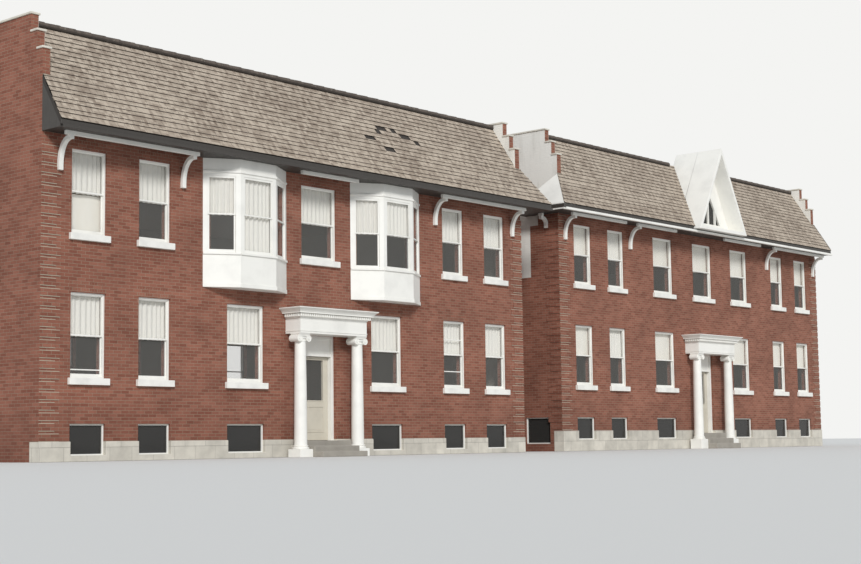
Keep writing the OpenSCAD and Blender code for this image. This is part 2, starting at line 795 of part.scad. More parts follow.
// Posts, head and transom panel of a door, with the hinge plates at the right
module door_frame(b) {
    bottom = doorstep_z[b];
    head = entablature_z[b];
    transom = bottom + leaf_h + leaf_lift + leaf_gap;
    rail = 70;
    panel_depth = 40;
    plate_x = [leaf_edge + barrel_r + hinge_gap, doorway_w / 2 - 20];
    clear_x = [-doorway_w / 2 + post_w, doorway_w / 2 - post_w];
    difference() {
        block_of([-doorway_w / 2, doorway_w / 2], [frame_front, frame_back], [bottom, head]);
        block_of(clear_x, [frame_front - past, frame_back + past], [bottom - past, transom]);
        block_of(clear_x, [frame_front - past, frame_front + panel_depth], [transom + rail, head - rail]);
    }
    for (z = barrel_zs)
        block_of(plate_x, [frame_back - past, barrel_y + barrel_r],
            [bottom + leaf_lift + z, bottom + leaf_lift + z + barrel_h]);
}
module door_frames() {
    color("white") for (b = [LEFT, RIGHT]) in_entrance(b) door_frame(b);
}

// Door leaf with its glass cut out, hinge barrels and a knob on each face
module in_leaf(b) {
    in_entrance(b) translate([0, 0, doorstep_z[b] + leaf_lift]) children();
}
module door_leaf(b) {
    color("wheat") in_leaf(b) {
        difference() {
            block_of([-leaf_edge, leaf_edge], [leaf_y, leaf_back], [0, leaf_h]);
            block_of([-door_glass_w / 2, door_glass_w / 2],
                [leaf_y - past, leaf_back + past], door_glass_z);
        }
        for (z = barrel_zs)
            translate([leaf_edge, barrel_y, z]) cylinder(h = barrel_h, r = barrel_r, $fn = round_fn);
        translate([-leaf_edge + knob_inset, leaf_y - knob_out, knob_z]) rotate([-90, 0, 0])
            cylinder(h = leaf_t + 2 * knob_out, r = knob_r, $fn = round_fn);
    }
}
module door_pane(b) {
    mid = leaf_y + leaf_t / 2;
    color("slategray") in_leaf(b)
        block_of([-door_glass_w / 2, door_glass_w / 2],
            [mid - glass_t / 2, mid + glass_t / 2], door_glass_z);
}

// Steep dormer: outline of its outside drawn in by a sideways thickness
module dormer_outline(inset, foot) {
    half = dormer_half - inset - (foot - dormer_foot) / dormer_rate;
    polygon([[dormer_x - half, foot], [dormer_x + half, foot],
        [dormer_x, dormer_top - inset * dormer_rate]]);
}
module dormer_body(y, inset) {
    along_y(y) dormer_outline(inset, dormer_foot);
}

// White hood of the dormer: two steep planes, with a boarded foot before the wall
module dormer_hood() {
    color("white") in_block(RIGHT) {
        difference() {
            union() {
                dormer_body([-dormer_out, 0], 0);
                along_y([0, ridge_y]) dormer_outline(0, attic_floor_z);
            }
            along_y([-dormer_out - past, ridge_y + past]) dormer_outline(dormer_t, dormer_floor);
        }
        along_y([ridge_y - dormer_t, ridge_y]) dormer_outline(0, deck_top - deck_t);
    }
}

// Dormer window: a boarded face with a triangular opening, three upright bars and glass behind
module dormer_opening(y, lap) {
    foot = dormer_floor + dormer_window_z[0] - lap;
    peak = dormer_floor + dormer_window_z[1] + 2 * lap;
    half = dormer_window_half + lap;
    along_y(y) polygon([[dormer_x - half, foot], [dormer_x + half, foot], [dormer_x, peak]]);
}
module dormer_face() {
    along_y(dormer_window_y) dormer_outline(dormer_t, dormer_floor);
}
module dormer_window() {
    bar_w = 50;
    pitch = 450;
    color("white") in_block(RIGHT) {
        difference() {
            dormer_face();
            dormer_opening([dormer_window_y[0] - past, dormer_window_y[1] + past], 0);
        }
        intersection() {
            dormer_face();
            for (i = [-1 : 1])
                block_of([dormer_x + i * pitch - bar_w / 2, dormer_x + i * pitch + bar_w / 2],
                    dormer_window_y, [dormer_floor, dormer_top]);
        }
    }
}
module dormer_glass() {
    lap = 60;
    color("lightblue") in_block(RIGHT)
        dormer_opening([dormer_window_y[1], dormer_window_y[1] + glass_t], lap);
}

// Link between the blocks: two storeys under a flat roof with low parapets
module link_wall() {
    difference() {
        block_of([-gap_w / 2, gap_w / 2], [0, wall_t], [0, link_top]);
        opening_cuts(link_openings);
    }
}
module link_walls() {
    color("firebrick") {
        in_link() link_wall();
        in_link_rear() link_wall();
    }
}
module link_floors() {
    color("burlywood") for (z = [floor_z, upper_floor_z])
        in_link() block_of([-gap_w / 2, gap_w / 2], [wall_t, link_d - wall_t], [z - floor_t, z]);
}

front_wall_a(LEFT);  // left_front_wall_a
front_wall_b(LEFT);  // left_front_wall_b
wall_over_door(LEFT);  // left_wall_over_door
front_wall_a(RIGHT);  // right_front_wall_a
front_wall_b(RIGHT);  // right_front_wall_b
wall_over_door(RIGHT);  // right_wall_over_door
rear_wall(LEFT);  // left_rear_wall
rear_wall(RIGHT);  // right_rear_wall
left_party_wall();
left_side_wall();
right_side_wall();
right_party_wall();
stone_bases();
floors(LEFT);  // left_floors
floors(RIGHT);  // right_floors
link_floors();
entrance_lobbies();
flat_roofs();
tiled_slope(LEFT);  // left_tiled_slope
tiled_slope(RIGHT);  // right_tiled_slope
eaves(LEFT);  // left_eaves
eaves(RIGHT);  // right_eaves
eaves_brackets();
parapet_copings();
bay_window(-inner_window_x);  // bay_window_a
bay_window(inner_window_x);  // bay_window_b
bay_sashes();
bay_glass();
window_sills();
front_window_frames();
rear_window_frames();
front_window_glass();
rear_window_glass();
portico_columns();
entablatures();
entrance_steps();
door_frames();
door_leaf(LEFT);  // left_door
door_leaf(RIGHT);  // right_door
door_pane(LEFT);  // left_door_glass
door_pane(RIGHT);  // right_door_glass
dormer_hood();
dormer_window();
dormer_glass();
link_walls();
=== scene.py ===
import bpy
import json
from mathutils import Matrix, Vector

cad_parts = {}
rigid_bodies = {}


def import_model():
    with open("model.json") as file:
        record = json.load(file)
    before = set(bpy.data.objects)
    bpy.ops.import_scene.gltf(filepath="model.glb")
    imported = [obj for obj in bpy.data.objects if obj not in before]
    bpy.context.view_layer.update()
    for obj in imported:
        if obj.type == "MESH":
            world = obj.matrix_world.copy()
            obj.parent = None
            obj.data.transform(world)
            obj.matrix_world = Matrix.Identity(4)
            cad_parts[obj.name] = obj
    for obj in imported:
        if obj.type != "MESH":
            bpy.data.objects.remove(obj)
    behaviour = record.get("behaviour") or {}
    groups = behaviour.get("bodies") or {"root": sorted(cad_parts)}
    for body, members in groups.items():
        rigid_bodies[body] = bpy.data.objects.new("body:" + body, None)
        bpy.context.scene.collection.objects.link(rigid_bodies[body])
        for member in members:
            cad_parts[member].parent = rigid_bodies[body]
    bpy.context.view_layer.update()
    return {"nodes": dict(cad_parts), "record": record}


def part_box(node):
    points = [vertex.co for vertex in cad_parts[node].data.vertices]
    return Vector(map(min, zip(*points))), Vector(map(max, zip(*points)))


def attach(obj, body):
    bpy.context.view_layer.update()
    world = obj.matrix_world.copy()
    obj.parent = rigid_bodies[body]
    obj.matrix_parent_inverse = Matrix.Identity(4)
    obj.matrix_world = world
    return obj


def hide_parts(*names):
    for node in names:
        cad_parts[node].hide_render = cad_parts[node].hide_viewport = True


bl_info = {
    "name": "Terraced house row",
    "version": (1, 0, 0),
    "blender": (4, 5, 0),
    "location": "View3D > Sidebar > House Row",
    "description": "Builds the finishes and fine joinery of a row of two brick house blocks",
    "category": "Object",
}

import json
import math

import bmesh
import bpy
from mathutils import Matrix, Vector

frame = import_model()

ROW = "row"
LEFT = 0
RIGHT = 1
DOOR_BODIES = ("left_door_leaf", "right_door_leaf")

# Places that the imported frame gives, in metres
SIDE_BOX = [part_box("left_side_wall"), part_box("right_side_wall")]
SLOPE_BOX = [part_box("left_tiled_slope"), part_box("right_tiled_slope")]
FRONT_BOX = [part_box("left_front_wall_a"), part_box("right_front_wall_a")]
HALF_W = (SLOPE_BOX[LEFT][1].x - SLOPE_BOX[LEFT][0].x) / 2
WALL_T = FRONT_BOX[LEFT][1].y - FRONT_BOX[LEFT][0].y
RISE = SLOPE_BOX[RIGHT][0].z - SLOPE_BOX[LEFT][0].z
BLOCK_AT = [Vector(((SLOPE_BOX[b][0].x + SLOPE_BOX[b][1].x) / 2, FRONT_BOX[b][0].y, b * RISE))
            for b in (LEFT, RIGHT)]

# Sizes of the frame that repeat the part's own, in metres
EAVE_Y = -0.68
EAVE_Z = 7.40
RIDGE_Y = 0.90
RIDGE_Z = 9.83
PARAPET_T = 0.20
RETURN_W = 0.62
RETURN_L = 1.25
SOFFIT_Z = 7.20
FASCIA_Z = (7.252, 7.365)
BAY_X = 2.555
BAY_W = 2.77
BAY_FRONT_W = 1.17
BAY_OUT = 0.47
BAY_OPENINGS = (0.94, 0.68)
BAY_SILL_Z = 4.93
BAY_HEAD_Z = 6.78
ENTRANCE_X = (0.0, -0.06)
COLUMN_X = 1.03
DORMER_X = -0.03
DORMER_HALF = 1.59
DORMER_FOOT = 7.29
DORMER_TOP = 10.26
# Places along the left block and up its slope where tiles are missing
MISSING_TILES = ((2.50, 1.76), (2.70, 1.76), (2.60, 1.63), (1.93, 1.37), (2.10, 1.37), (3.52, 1.62),
                 (3.70, 1.62), (2.51, 1.09), (2.68, 1.09), (3.24, 1.83), (3.97, 1.56))
# Height under which a window is a low one with a single pane
LOW_WINDOW_H = 0.9
# Heights under which the panes of the left and right block light the cellars
CELLAR_TOP = (1.0, 1.2)
# Turn of the one window that faces the link
SIDE_TURN = -math.pi / 2
# Lowest and highest corners of the hollow insides of both blocks and of the link
INSIDES = [(Vector((low.x, BLOCK_AT[b].y + WALL_T, low.z)), high)
           for b, (low, high) in enumerate((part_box("left_floors"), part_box("right_floors")))]
INSIDES.append(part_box("link_floors"))
# The side wall towards the link is coloured pale above each height, from a distance behind the
# front
PALE_PATCH_STEPS = ((5.25, 1.10), (6.88, 0.79), (SOFFIT_Z, 0.0))

# Camera as fitted to the photograph: place, turn to the right, up and about its axis, in degrees
CAMERA_AT = (-38.017, -33.569, 0.367)
CAMERA_TURN = (48.278, 5.667, -0.646)
LENS_MM = 64.98
LENS_SHIFT = (0.0331, 0.0058)
# Low soft sun from the front left, and the pale sky
SUN_AT = (-30, -36, 28)
SUN_STRENGTH = 2.4
SKY_STRENGTH = 0.62


# Modelling helpers

def deselect():
    """Leaves object mode with nothing selected."""
    if bpy.context.mode != "OBJECT":
        bpy.ops.object.mode_set(mode="OBJECT")
    bpy.ops.object.select_all(action="DESELECT")


def edit(obj):
    """Opens one object in edit mode with all of it selected."""
    deselect()
    obj.select_set(True)
    bpy.context.view_layer.objects.active = obj
    bpy.ops.object.mode_set(mode="EDIT")
    bpy.ops.mesh.select_mode(type="VERT")
    bpy.ops.mesh.select_all(action="SELECT")


def done(obj, outwards=False):
    """Closes edit mode, with the faces turned outwards if asked."""
    if outwards:
        bpy.ops.mesh.select_all(action="SELECT")
        bpy.ops.mesh.remove_doubles(threshold=1e-5)
        bpy.ops.mesh.normals_make_consistent(inside=False)
    bpy.ops.object.mode_set(mode="OBJECT")
    return obj


def apply_place(obj):
    """Puts an object's place, turn and scale into its mesh."""
    deselect()
    obj.select_set(True)
    bpy.context.view_layer.objects.active = obj
    bpy.ops.object.transform_apply(location=True, rotation=True, scale=True)
    return obj


def block(low, high, ease=0.0, segments=1):
    """A cuboid between two corners with eased edges."""
    deselect()
    low, high = Vector(low), Vector(high)
    bpy.ops.mesh.primitive_cube_add(size=1, location=(low + high) / 2, scale=high - low)
    obj = apply_place(bpy.context.object)
    if ease:
        edit(obj)
        bpy.ops.mesh.bevel(offset=ease, segments=segments, affect="EDGES")
        done(obj)
    return obj


def with_modifiers(obj, *modifiers):
    """Adds modifiers given as (kind, settings) and applies them in order."""
    deselect()
    obj.select_set(True)
    bpy.context.view_layer.objects.active = obj
    for kind, settings in modifiers:
        modifier = obj.modifiers.new(kind.title(), kind)
        for key, value in settings.items():
            setattr(modifier, key, value)
        bpy.ops.object.modifier_apply(modifier=modifier.name)
    return obj


def eased(width, segments=2):
    """Settings of a bevel on the sharp edges."""
    return ("BEVEL", {"width": width, "segments": segments, "limit_method": "ANGLE",
                      "angle_limit": math.radians(40)})


def repeated(count, offset):
    """Settings of an array at a fixed distance."""
    return ("ARRAY", {"count": count, "use_relative_offset": False, "use_constant_offset": True,
                      "constant_offset_displace": offset})


def join(objects, name):
    """Joins objects into the first one and names it."""
    deselect()
    for obj in objects:
        obj.select_set(True)
    bpy.context.view_layer.objects.active = objects[0]
    if len(objects) > 1:
        bpy.ops.object.join()
    objects[0].name = name
    objects[0].data.name = name
    return objects[0]


def copy_at(obj, matrix):
    """A copy with its own mesh, moved and turned in its mesh."""
    twin = obj.copy()
    twin.data = obj.data.copy()
    bpy.context.scene.collection.objects.link(twin)
    twin.data.transform(matrix)
    return twin


def remove(objects):
    """Takes patterns that were only copied from out of the scene."""
    for obj in objects:
        bpy.data.objects.remove(obj)


def place_of(x, y, z, turn=0.0):
    """Matrix that turns about Z and then moves."""
    return Matrix.Translation((x, y, z)) @ Matrix.Rotation(turn, 4, "Z")


def in_block(b, x=0.0, y=0.0, z=0.0):
    """Matrix to a place in a block's own frame."""
    return Matrix.Translation(BLOCK_AT[b] + Vector((x, y, z)))


def select_where(obj, test):
    """Selects the vertices of the open mesh that pass a test on their place."""
    mesh = bmesh.from_edit_mesh(obj.data)
    for face in mesh.faces:
        face.select = False
    for edge in mesh.edges:
        edge.select = False
    for vert in mesh.verts:
        vert.select = test(vert.co)
    mesh.select_flush(True)
    bmesh.update_edit_mesh(obj.data)


def cut(obj, point, normal):
    """Cuts off what lies on the side that the normal points to, and closes the cut."""
    edit(obj)
    bpy.ops.mesh.bisect(plane_co=point, plane_no=normal, use_fill=True, clear_outer=True)
    return done(obj)


def board_frame(width, height, sides, depth, ease=0.003):
    """A rectangular frame that stands on Z = 0 with its face at Y = 0.

    sides are the widths of its left, right, foot and head members."""
    deselect()
    bpy.ops.mesh.primitive_plane_add(size=1, location=(0, 0, height / 2),
                                     rotation=(math.pi / 2, 0, 0))
    obj = bpy.context.object
    obj.scale = (width, height, 1)
    apply_place(obj)
    edit(obj)
    step = min(width, height) * 0.2
    bpy.ops.mesh.inset(thickness=step, depth=0)
    bpy.ops.mesh.delete(type="ONLY_FACE")
    left, right, foot, head = sides
    middle = height / 2
    for test, shift in (
            (lambda p: -width / 2 + 1e-4 < p.x < 0, (left - step, 0, 0)),
            (lambda p: 0 < p.x < width / 2 - 1e-4, (step - right, 0, 0)),
            (lambda p: 1e-4 < p.z < middle, (0, 0, foot - step)),
            (lambda p: middle < p.z < height - 1e-4, (0, 0, step - head))):
        select_where(obj, test)
        bpy.ops.transform.translate(value=shift)
    done(obj)
    return with_modifiers(obj, ("SOLIDIFY", {"thickness": depth, "offset": -1}), eased(ease, 1))


def turned(profile, segments=24):
    """A round piece on the Z axis from (radius, height) pairs, foot first."""
    deselect()
    radius, height = profile[0]
    bpy.ops.mesh.primitive_circle_add(vertices=segments, radius=radius, fill_type="NGON",
                                      location=(0, 0, height))
    obj = apply_place(bpy.context.object)
    edit(obj)
    for new_radius, new_height in profile[1:]:
        step = {"value": (0, 0, new_height - height)}
        bpy.ops.mesh.extrude_region_move(TRANSFORM_OT_translate=step)
        scale = new_radius / radius
        bpy.ops.transform.resize(value=(scale, scale, 1), center_override=(0, 0, new_height))
        radius, height = new_radius, new_height
    done(obj, outwards=True)
    deselect()
    obj.select_set(True)
    bpy.context.view_layer.objects.active = obj
    bpy.ops.object.shade_smooth_by_angle(angle=math.radians(35))
    return obj


def stacked(x, front, levels, back=0.0):
    """Mouldings piled on a rectangle against a wall: levels are (height, how far out)."""
    deselect()
    middle = (x[0] + x[1]) / 2
    height, out = levels[0]
    width, depth = x[1] - x[0] + 2 * out, back - front + out
    bpy.ops.mesh.primitive_plane_add(size=1, location=(middle, back - depth / 2, height))
    obj = bpy.context.object
    obj.scale = (width, depth, 1)
    apply_place(obj)
    edit(obj)
    for new_height, out in levels[1:]:
        step = {"value": (0, 0, new_height - height)}
        bpy.ops.mesh.extrude_region_move(TRANSFORM_OT_translate=step)
        new_width, new_depth = x[1] - x[0] + 2 * out, back - front + out
        bpy.ops.transform.resize(value=(new_width / width, new_depth / depth, 1),
                                 center_override=(middle, back, new_height))
        width, depth, height = new_width, new_depth, new_height
    return done(obj, outwards=True)


def eased_copy(node, name, width, segments=2):
    """A copy of a CAD node with merged doubles, whole faces and eased edges."""
    mesh = frame["nodes"][node].data.copy()
    obj = bpy.data.objects.new(name, mesh)
    bpy.context.scene.collection.objects.link(obj)
    obj.data.materials.clear()
    edit(obj)
    bpy.ops.mesh.remove_doubles(threshold=1e-4)
    bpy.ops.mesh.dissolve_limited(angle_limit=math.radians(1))
    done(obj)
    return with_modifiers(obj, eased(width, segments))


def solids_of(node):
    """Lowest and highest corners of the separate solids of a CAD node."""
    mesh = bmesh.new()
    mesh.from_mesh(frame["nodes"][node].data)
    bmesh.ops.remove_doubles(mesh, verts=mesh.verts, dist=1e-4)
    mesh.verts.index_update()
    seen, boxes = set(), []
    for start in mesh.verts:
        if start.index in seen:
            continue
        seen.add(start.index)
        waiting, group = [start], []
        while waiting:
            vert = waiting.pop()
            group.append(vert.co.copy())
            for edge in vert.link_edges:
                other = edge.other_vert(vert)
                if other.index not in seen:
                    seen.add(other.index)
                    waiting.append(other)
        boxes.append((Vector([min(p[i] for p in group) for i in range(3)]),
                      Vector([max(p[i] for p in group) for i in range(3)])))
    mesh.free()
    return boxes


# Material helpers

def linear(hex_colour, alpha=1.0):
    """An sRGB hex colour as linear red, green, blue and alpha."""
    channels = []
    for i in (1, 3, 5):
        value = int(hex_colour[i:i + 2], 16) / 255
        channels.append(value / 12.92 if value <= 0.04045 else ((value + 0.055) / 1.055) ** 2.4)
    return (*channels, alpha)


def add_node(tree, kind, inputs=None, **settings):
    """Adds a shader node with its settings; inputs are values or sockets to link from."""
    node = tree.nodes.new(kind)
    for key, value in settings.items():
        setattr(node, key, value)
    for key, value in (inputs or {}).items():
        if isinstance(value, bpy.types.NodeSocket):
            tree.links.new(value, node.inputs[key])
        else:
            node.inputs[key].default_value = value
    return node


def new_material(name, roughness, **sockets):
    """A material with one Principled shader; returns the material, its tree and the shader."""
    material = bpy.data.materials.new(name)
    material.use_nodes = True
    tree = material.node_tree
    tree.nodes.clear()
    shader = add_node(tree, "ShaderNodeBsdfPrincipled", {"Roughness": roughness, **sockets})
    add_node(tree, "ShaderNodeOutputMaterial", {"Surface": shader.outputs[0]})
    return material, tree, shader


def mixed(tree, factor, first, second, blend="MIX"):
    """Colour output that mixes two colours."""
    return add_node(tree, "ShaderNodeMix", {0: factor, 6: first, 7: second},
                    data_type="RGBA", blend_type=blend).outputs[2]


def maths(tree, operation, first, second=0.0):
    """Value output of one sum."""
    return add_node(tree, "ShaderNodeMath", {0: first, 1: second}, operation=operation).outputs[0]


def noise(tree, vector, scale, detail=3.0, roughness=0.55):
    """Value output of a noise pattern; scale is in patches per metre."""
    return add_node(tree, "ShaderNodeTexNoise", {"Vector": vector, "Scale": scale, "Detail": detail,
                                                 "Roughness": roughness}).outputs[0]


def span(tree, value, low, high, to_low=0.0, to_high=1.0):
    """Value output that runs from one span to another and stays within it."""
    return add_node(tree, "ShaderNodeMapRange", {"Value": value, 1: low, 2: high, 3: to_low,
                                                 4: to_high}).outputs[0]


def bumped(tree, shader, height, distance, strength=1.0):
    """Bump of a real depth in metres on the shader's normal."""
    bump = add_node(tree, "ShaderNodeBump", {"Height": height, "Distance": distance,
                                             "Strength": strength})
    tree.links.new(bump.outputs[0], shader.inputs["Normal"])


def place_sockets(tree):
    """Object coordinates, their three parts, and the parts of the normal."""
    coords = add_node(tree, "ShaderNodeTexCoord")
    parts = add_node(tree, "ShaderNodeSeparateXYZ", {0: coords.outputs["Object"]})
    normal = add_node(tree, "ShaderNodeSeparateXYZ", {0: coords.outputs["Normal"]})
    return coords.outputs["Object"], parts.outputs, normal.outputs


class HouseRowSizes(bpy.types.PropertyGroup):
    """Sizes of the fine pieces"""
    tile_width: bpy.props.FloatProperty(
        name="Tile width", description="Width of one roof tile", default=0.20, unit="LENGTH")
    tile_courses: bpy.props.IntProperty(
        name="Eave courses", description="Tile courses in front of the brick face", default=8)
    brick_length: bpy.props.FloatProperty(
        name="Brick length", description="Length of a brick with its joint", default=0.225,
        unit="LENGTH")
    brick_course: bpy.props.FloatProperty(
        name="Brick course", description="Height of a brick course with its joint",
        default=0.075, unit="LENGTH")
    joint: bpy.props.FloatProperty(
        name="Mortar joint", description="Width of the mortar joints", default=0.010, unit="LENGTH")
    quoin_widths: bpy.props.FloatVectorProperty(
        name="Quoin widths", description="Widths of the alternating corner blocks", size=2,
        default=(0.52, 0.40), unit="LENGTH")
    quoin_proud: bpy.props.FloatProperty(
        name="Quoin relief", description="How far the corner blocks stand out", default=0.018,
        unit="LENGTH")
    stile: bpy.props.FloatProperty(
        name="Sash stile", description="Width of the upright sash members", default=0.030,
        unit="LENGTH")
    board: bpy.props.FloatProperty(
        name="Board width", description="Width of the floor boards", default=0.12, unit="LENGTH")


class HouseRowColours(bpy.types.PropertyGroup):
    """Colours of the finishes as sRGB hex values"""
    brick: bpy.props.StringProperty(
        name="Brick", description="Main colour of the bricks", default="#93604f")
    brick_dark: bpy.props.StringProperty(
        name="Dark brick", description="Colour of the harder burnt bricks", default="#7c4b3c")
    mortar: bpy.props.StringProperty(
        name="Mortar", description="Colour of the weathered lime mortar", default="#94826f")
    tile: bpy.props.StringProperty(
        name="Roof tile", description="Colour of the lightest clay tiles", default="#b9ab9a")
    tile_dark: bpy.props.StringProperty(
        name="Dark roof tile", description="Colour of the darkest tiles", default="#857668")
    white_paint: bpy.props.StringProperty(
        name="White paint", description="Colour of the painted joinery", default="#eceae3")
    dark_paint: bpy.props.StringProperty(
        name="Dark paint", description="Colour of the dark painted eaves", default="#3b3733")
    door_paint: bpy.props.StringProperty(
        name="Door paint", description="Colour of the doors", default="#c9c2b2")
    stone: bpy.props.StringProperty(
        name="Base stone", description="Colour of the stone base", default="#d6d0c3")
    steps: bpy.props.StringProperty(
        name="Step stone", description="Colour of the worn steps", default="#9c968c")
    felt: bpy.props.StringProperty(
        name="Roof felt", description="Colour of the flat roofs", default="#4a4947")
    timber: bpy.props.StringProperty(
        name="Floor timber", description="Colour of the floor boards", default="#8a6a48")
    plaster: bpy.props.StringProperty(
        name="Plaster", description="Colour of the plastered insides", default="#a8a195")
    render: bpy.props.StringProperty(
        name="Render", description="Colour of the rendered side wall", default="#e9e6de")
    cloth: bpy.props.StringProperty(
        name="Curtains", description="Colour of the net curtains", default="#f4f1e8")


def colour(name, alpha=1.0):
    """A colour of the panel as linear values."""
    return linear(getattr(bpy.context.scene.house_row_colours, name), alpha)


finishes = {}


def inside_mask(tree, parts):
    """1 on the inner faces of the walls of both blocks and the link, 0 outside."""
    total = 0.0
    for low, high in INSIDES:
        within = 1.0
        for axis in (0, 1):
            middle = (low[axis] + high[axis]) / 2
            half = (high[axis] - low[axis]) / 2 + 0.004
            away = maths(tree, "ABSOLUTE", maths(tree, "SUBTRACT", parts[axis], middle))
            within = maths(tree, "MULTIPLY", within, maths(tree, "LESS_THAN", away, half))
        total = maths(tree, "MAXIMUM", total, within)
    return total


def parapet_mask(tree, parts):
    """1 on the inner faces of the parapets that stand above the roofs."""
    total = 0.0
    for b, (low, high) in enumerate(SIDE_BOX):
        away = maths(tree, "ABSOLUTE", maths(tree, "SUBTRACT", parts[0], BLOCK_AT[b].x))
        within = maths(tree, "LESS_THAN", away, HALF_W - PARAPET_T + 0.004)
        front = maths(tree, "GREATER_THAN", parts[1], low.y + 0.002)
        rear = maths(tree, "LESS_THAN", parts[1], high.y - 0.05)
        above = maths(tree, "GREATER_THAN", parts[2], BLOCK_AT[b].z + EAVE_Z)
        for other in (front, rear, above):
            within = maths(tree, "MULTIPLY", within, other)
        total = maths(tree, "MAXIMUM", total, within)
    return total


def side_pale_patch_mask(tree, parts, normal):
    """1 where the right block's side wall is coloured pale, on the face towards the link."""
    total = 0.0
    for height, behind in PALE_PATCH_STEPS:
        above = maths(tree, "GREATER_THAN", parts[2], BLOCK_AT[RIGHT].z + height)
        back = maths(tree, "GREATER_THAN", parts[1], BLOCK_AT[RIGHT].y + behind)
        total = maths(tree, "MAXIMUM", total, maths(tree, "MULTIPLY", above, back))
    return maths(tree, "MULTIPLY", total, maths(tree, "LESS_THAN", normal[0], -0.5))


def level_colour(tree, value):
    """A grey colour socket of one value."""
    return add_node(tree, "ShaderNodeCombineXYZ", {0: value, 1: value, 2: value}).outputs[0]


def along_wall(tree, parts, normal):
    """Distance along a wall and height, whichever way the wall faces."""
    across = maths(tree, "GREATER_THAN", maths(tree, "ABSOLUTE", normal[0]), 0.5)
    along = add_node(tree, "ShaderNodeMix", {0: across, 2: parts[0], 3: parts[1]},
                     data_type="FLOAT").outputs[0]
    return add_node(tree, "ShaderNodeCombineXYZ", {0: along, 1: parts[2]}).outputs[0]


def brickwork(name, side_pale_patch=False):
    """Fired clay bricks in lime mortar: dull, each brick its own red, joints set back.

    Inner faces are lime plaster, and above the eaves white render."""
    sizes = bpy.context.scene.house_row_sizes
    material, tree, shader = new_material(name, 0.88, **{"Specular IOR Level": 0.3})
    vector, parts, normal = place_sockets(tree)
    bricks = add_node(tree, "ShaderNodeTexBrick", {
        "Vector": along_wall(tree, parts, normal), "Color1": colour("brick"),
        "Color2": colour("brick_dark"), "Mortar": colour("mortar"), "Scale": 1.0,
        "Mortar Size": sizes.joint / 2, "Mortar Smooth": 0.3, "Bias": 0.0,
        "Brick Width": sizes.brick_length, "Row Height": sizes.brick_course})
    patches = span(tree, noise(tree, vector, 0.9), 0.35, 0.65, 0.85, 1.1)
    grain = span(tree, noise(tree, vector, 60.0), 0.3, 0.7, 0.9, 1.08)
    foot = span(tree, parts[2], 0.3, 1.6, 0.85, 1.0)
    shade = maths(tree, "MULTIPLY", maths(tree, "MULTIPLY", patches, grain), foot)
    wall = mixed(tree, 1.0, bricks.outputs["Color"], level_colour(tree, shade), "MULTIPLY")
    streaks = add_node(tree, "ShaderNodeMapping", {"Vector": vector, "Scale": (3.0, 3.0, 0.5)})
    stained = span(tree, noise(tree, streaks.outputs[0], 1.0), 0.5, 0.8, 0.0, 0.4)
    render = mixed(tree, stained, colour("render"), linear("#aaa498"))
    if side_pale_patch:
        # A stepped patch of the side wall towards the link takes the pale colour.
        wall = mixed(tree, side_pale_patch_mask(tree, parts, normal), wall, render)
    attic = maths(tree, "GREATER_THAN", parts[2], EAVE_Z + RISE)
    lining = mixed(tree, attic, colour("plaster"), render)
    wall = mixed(tree, inside_mask(tree, parts), wall, lining)
    wall = mixed(tree, parapet_mask(tree, parts), wall, render)
    tree.links.new(wall, shader.inputs["Base Color"])
    relief = maths(tree, "SUBTRACT", maths(tree, "MULTIPLY", grain, 0.2), bricks.outputs["Fac"])
    bumped(tree, shader, relief, 0.0025)
    return material


def stone_blocks(name, tint, length, height, roughness=0.85):
    """Sawn limestone blocks with fine joints and weather stains: dull and slightly uneven."""
    material, tree, shader = new_material(name, roughness)
    vector, parts, normal = place_sockets(tree)
    dark = tuple(0.8 * c for c in tint[:3]) + (1.0,)
    joint = tuple(0.45 * c for c in tint[:3]) + (1.0,)
    blocks = add_node(tree, "ShaderNodeTexBrick", {
        "Vector": along_wall(tree, parts, normal), "Color1": tint, "Color2": dark,
        "Mortar": joint, "Scale": 1.0, "Mortar Size": 0.004, "Mortar Smooth": 0.4, "Bias": 0.0,
        "Brick Width": length, "Row Height": height})
    stain = span(tree, noise(tree, vector, 2.5, 6.0), 0.35, 0.75, 1.0, 0.72)
    tree.links.new(mixed(tree, 1.0, blocks.outputs["Color"], level_colour(tree, stain), "MULTIPLY"),
                   shader.inputs["Base Color"])
    relief = maths(tree, "SUBTRACT", maths(tree, "MULTIPLY", noise(tree, vector, 90.0), 0.4),
                   blocks.outputs["Fac"])
    bumped(tree, shader, relief, 0.003)
    return material


def plain_stone(name, tint, roughness=0.8):
    """Stone without joints, such as sills and copings: fine grain and soft stains."""
    material, tree, shader = new_material(name, roughness)
    vector = place_sockets(tree)[0]
    stain = span(tree, noise(tree, vector, 3.0, 6.0), 0.4, 0.8, 0.0, 0.45)
    dark = tuple(0.55 * c for c in tint[:3]) + (1.0,)
    tree.links.new(mixed(tree, stain, tint, dark), shader.inputs["Base Color"])
    bumped(tree, shader, noise(tree, vector, 120.0), 0.001)
    return material


def painted_timber(name, tint, roughness=0.45, grain=(40.0, 40.0, 4.0)):
    """Oil paint on softwood: satin, with brush marks, and a little grime where rain collects."""
    material, tree, shader = new_material(name, roughness)
    vector = place_sockets(tree)[0]
    brush = add_node(tree, "ShaderNodeMapping", {"Vector": vector, "Scale": grain})
    marks = noise(tree, brush.outputs[0], 1.0, 4.0)
    grime = span(tree, noise(tree, vector, 1.7, 5.0), 0.45, 0.8, 0.0, 0.35)
    dark = tuple(0.6 * c for c in tint[:3]) + (1.0,)
    tree.links.new(mixed(tree, grime, tint, dark), shader.inputs["Base Color"])
    tree.links.new(span(tree, marks, 0.3, 0.7, roughness - 0.08, roughness + 0.12),
                   shader.inputs["Roughness"])
    bumped(tree, shader, marks, 0.0006)
    return material


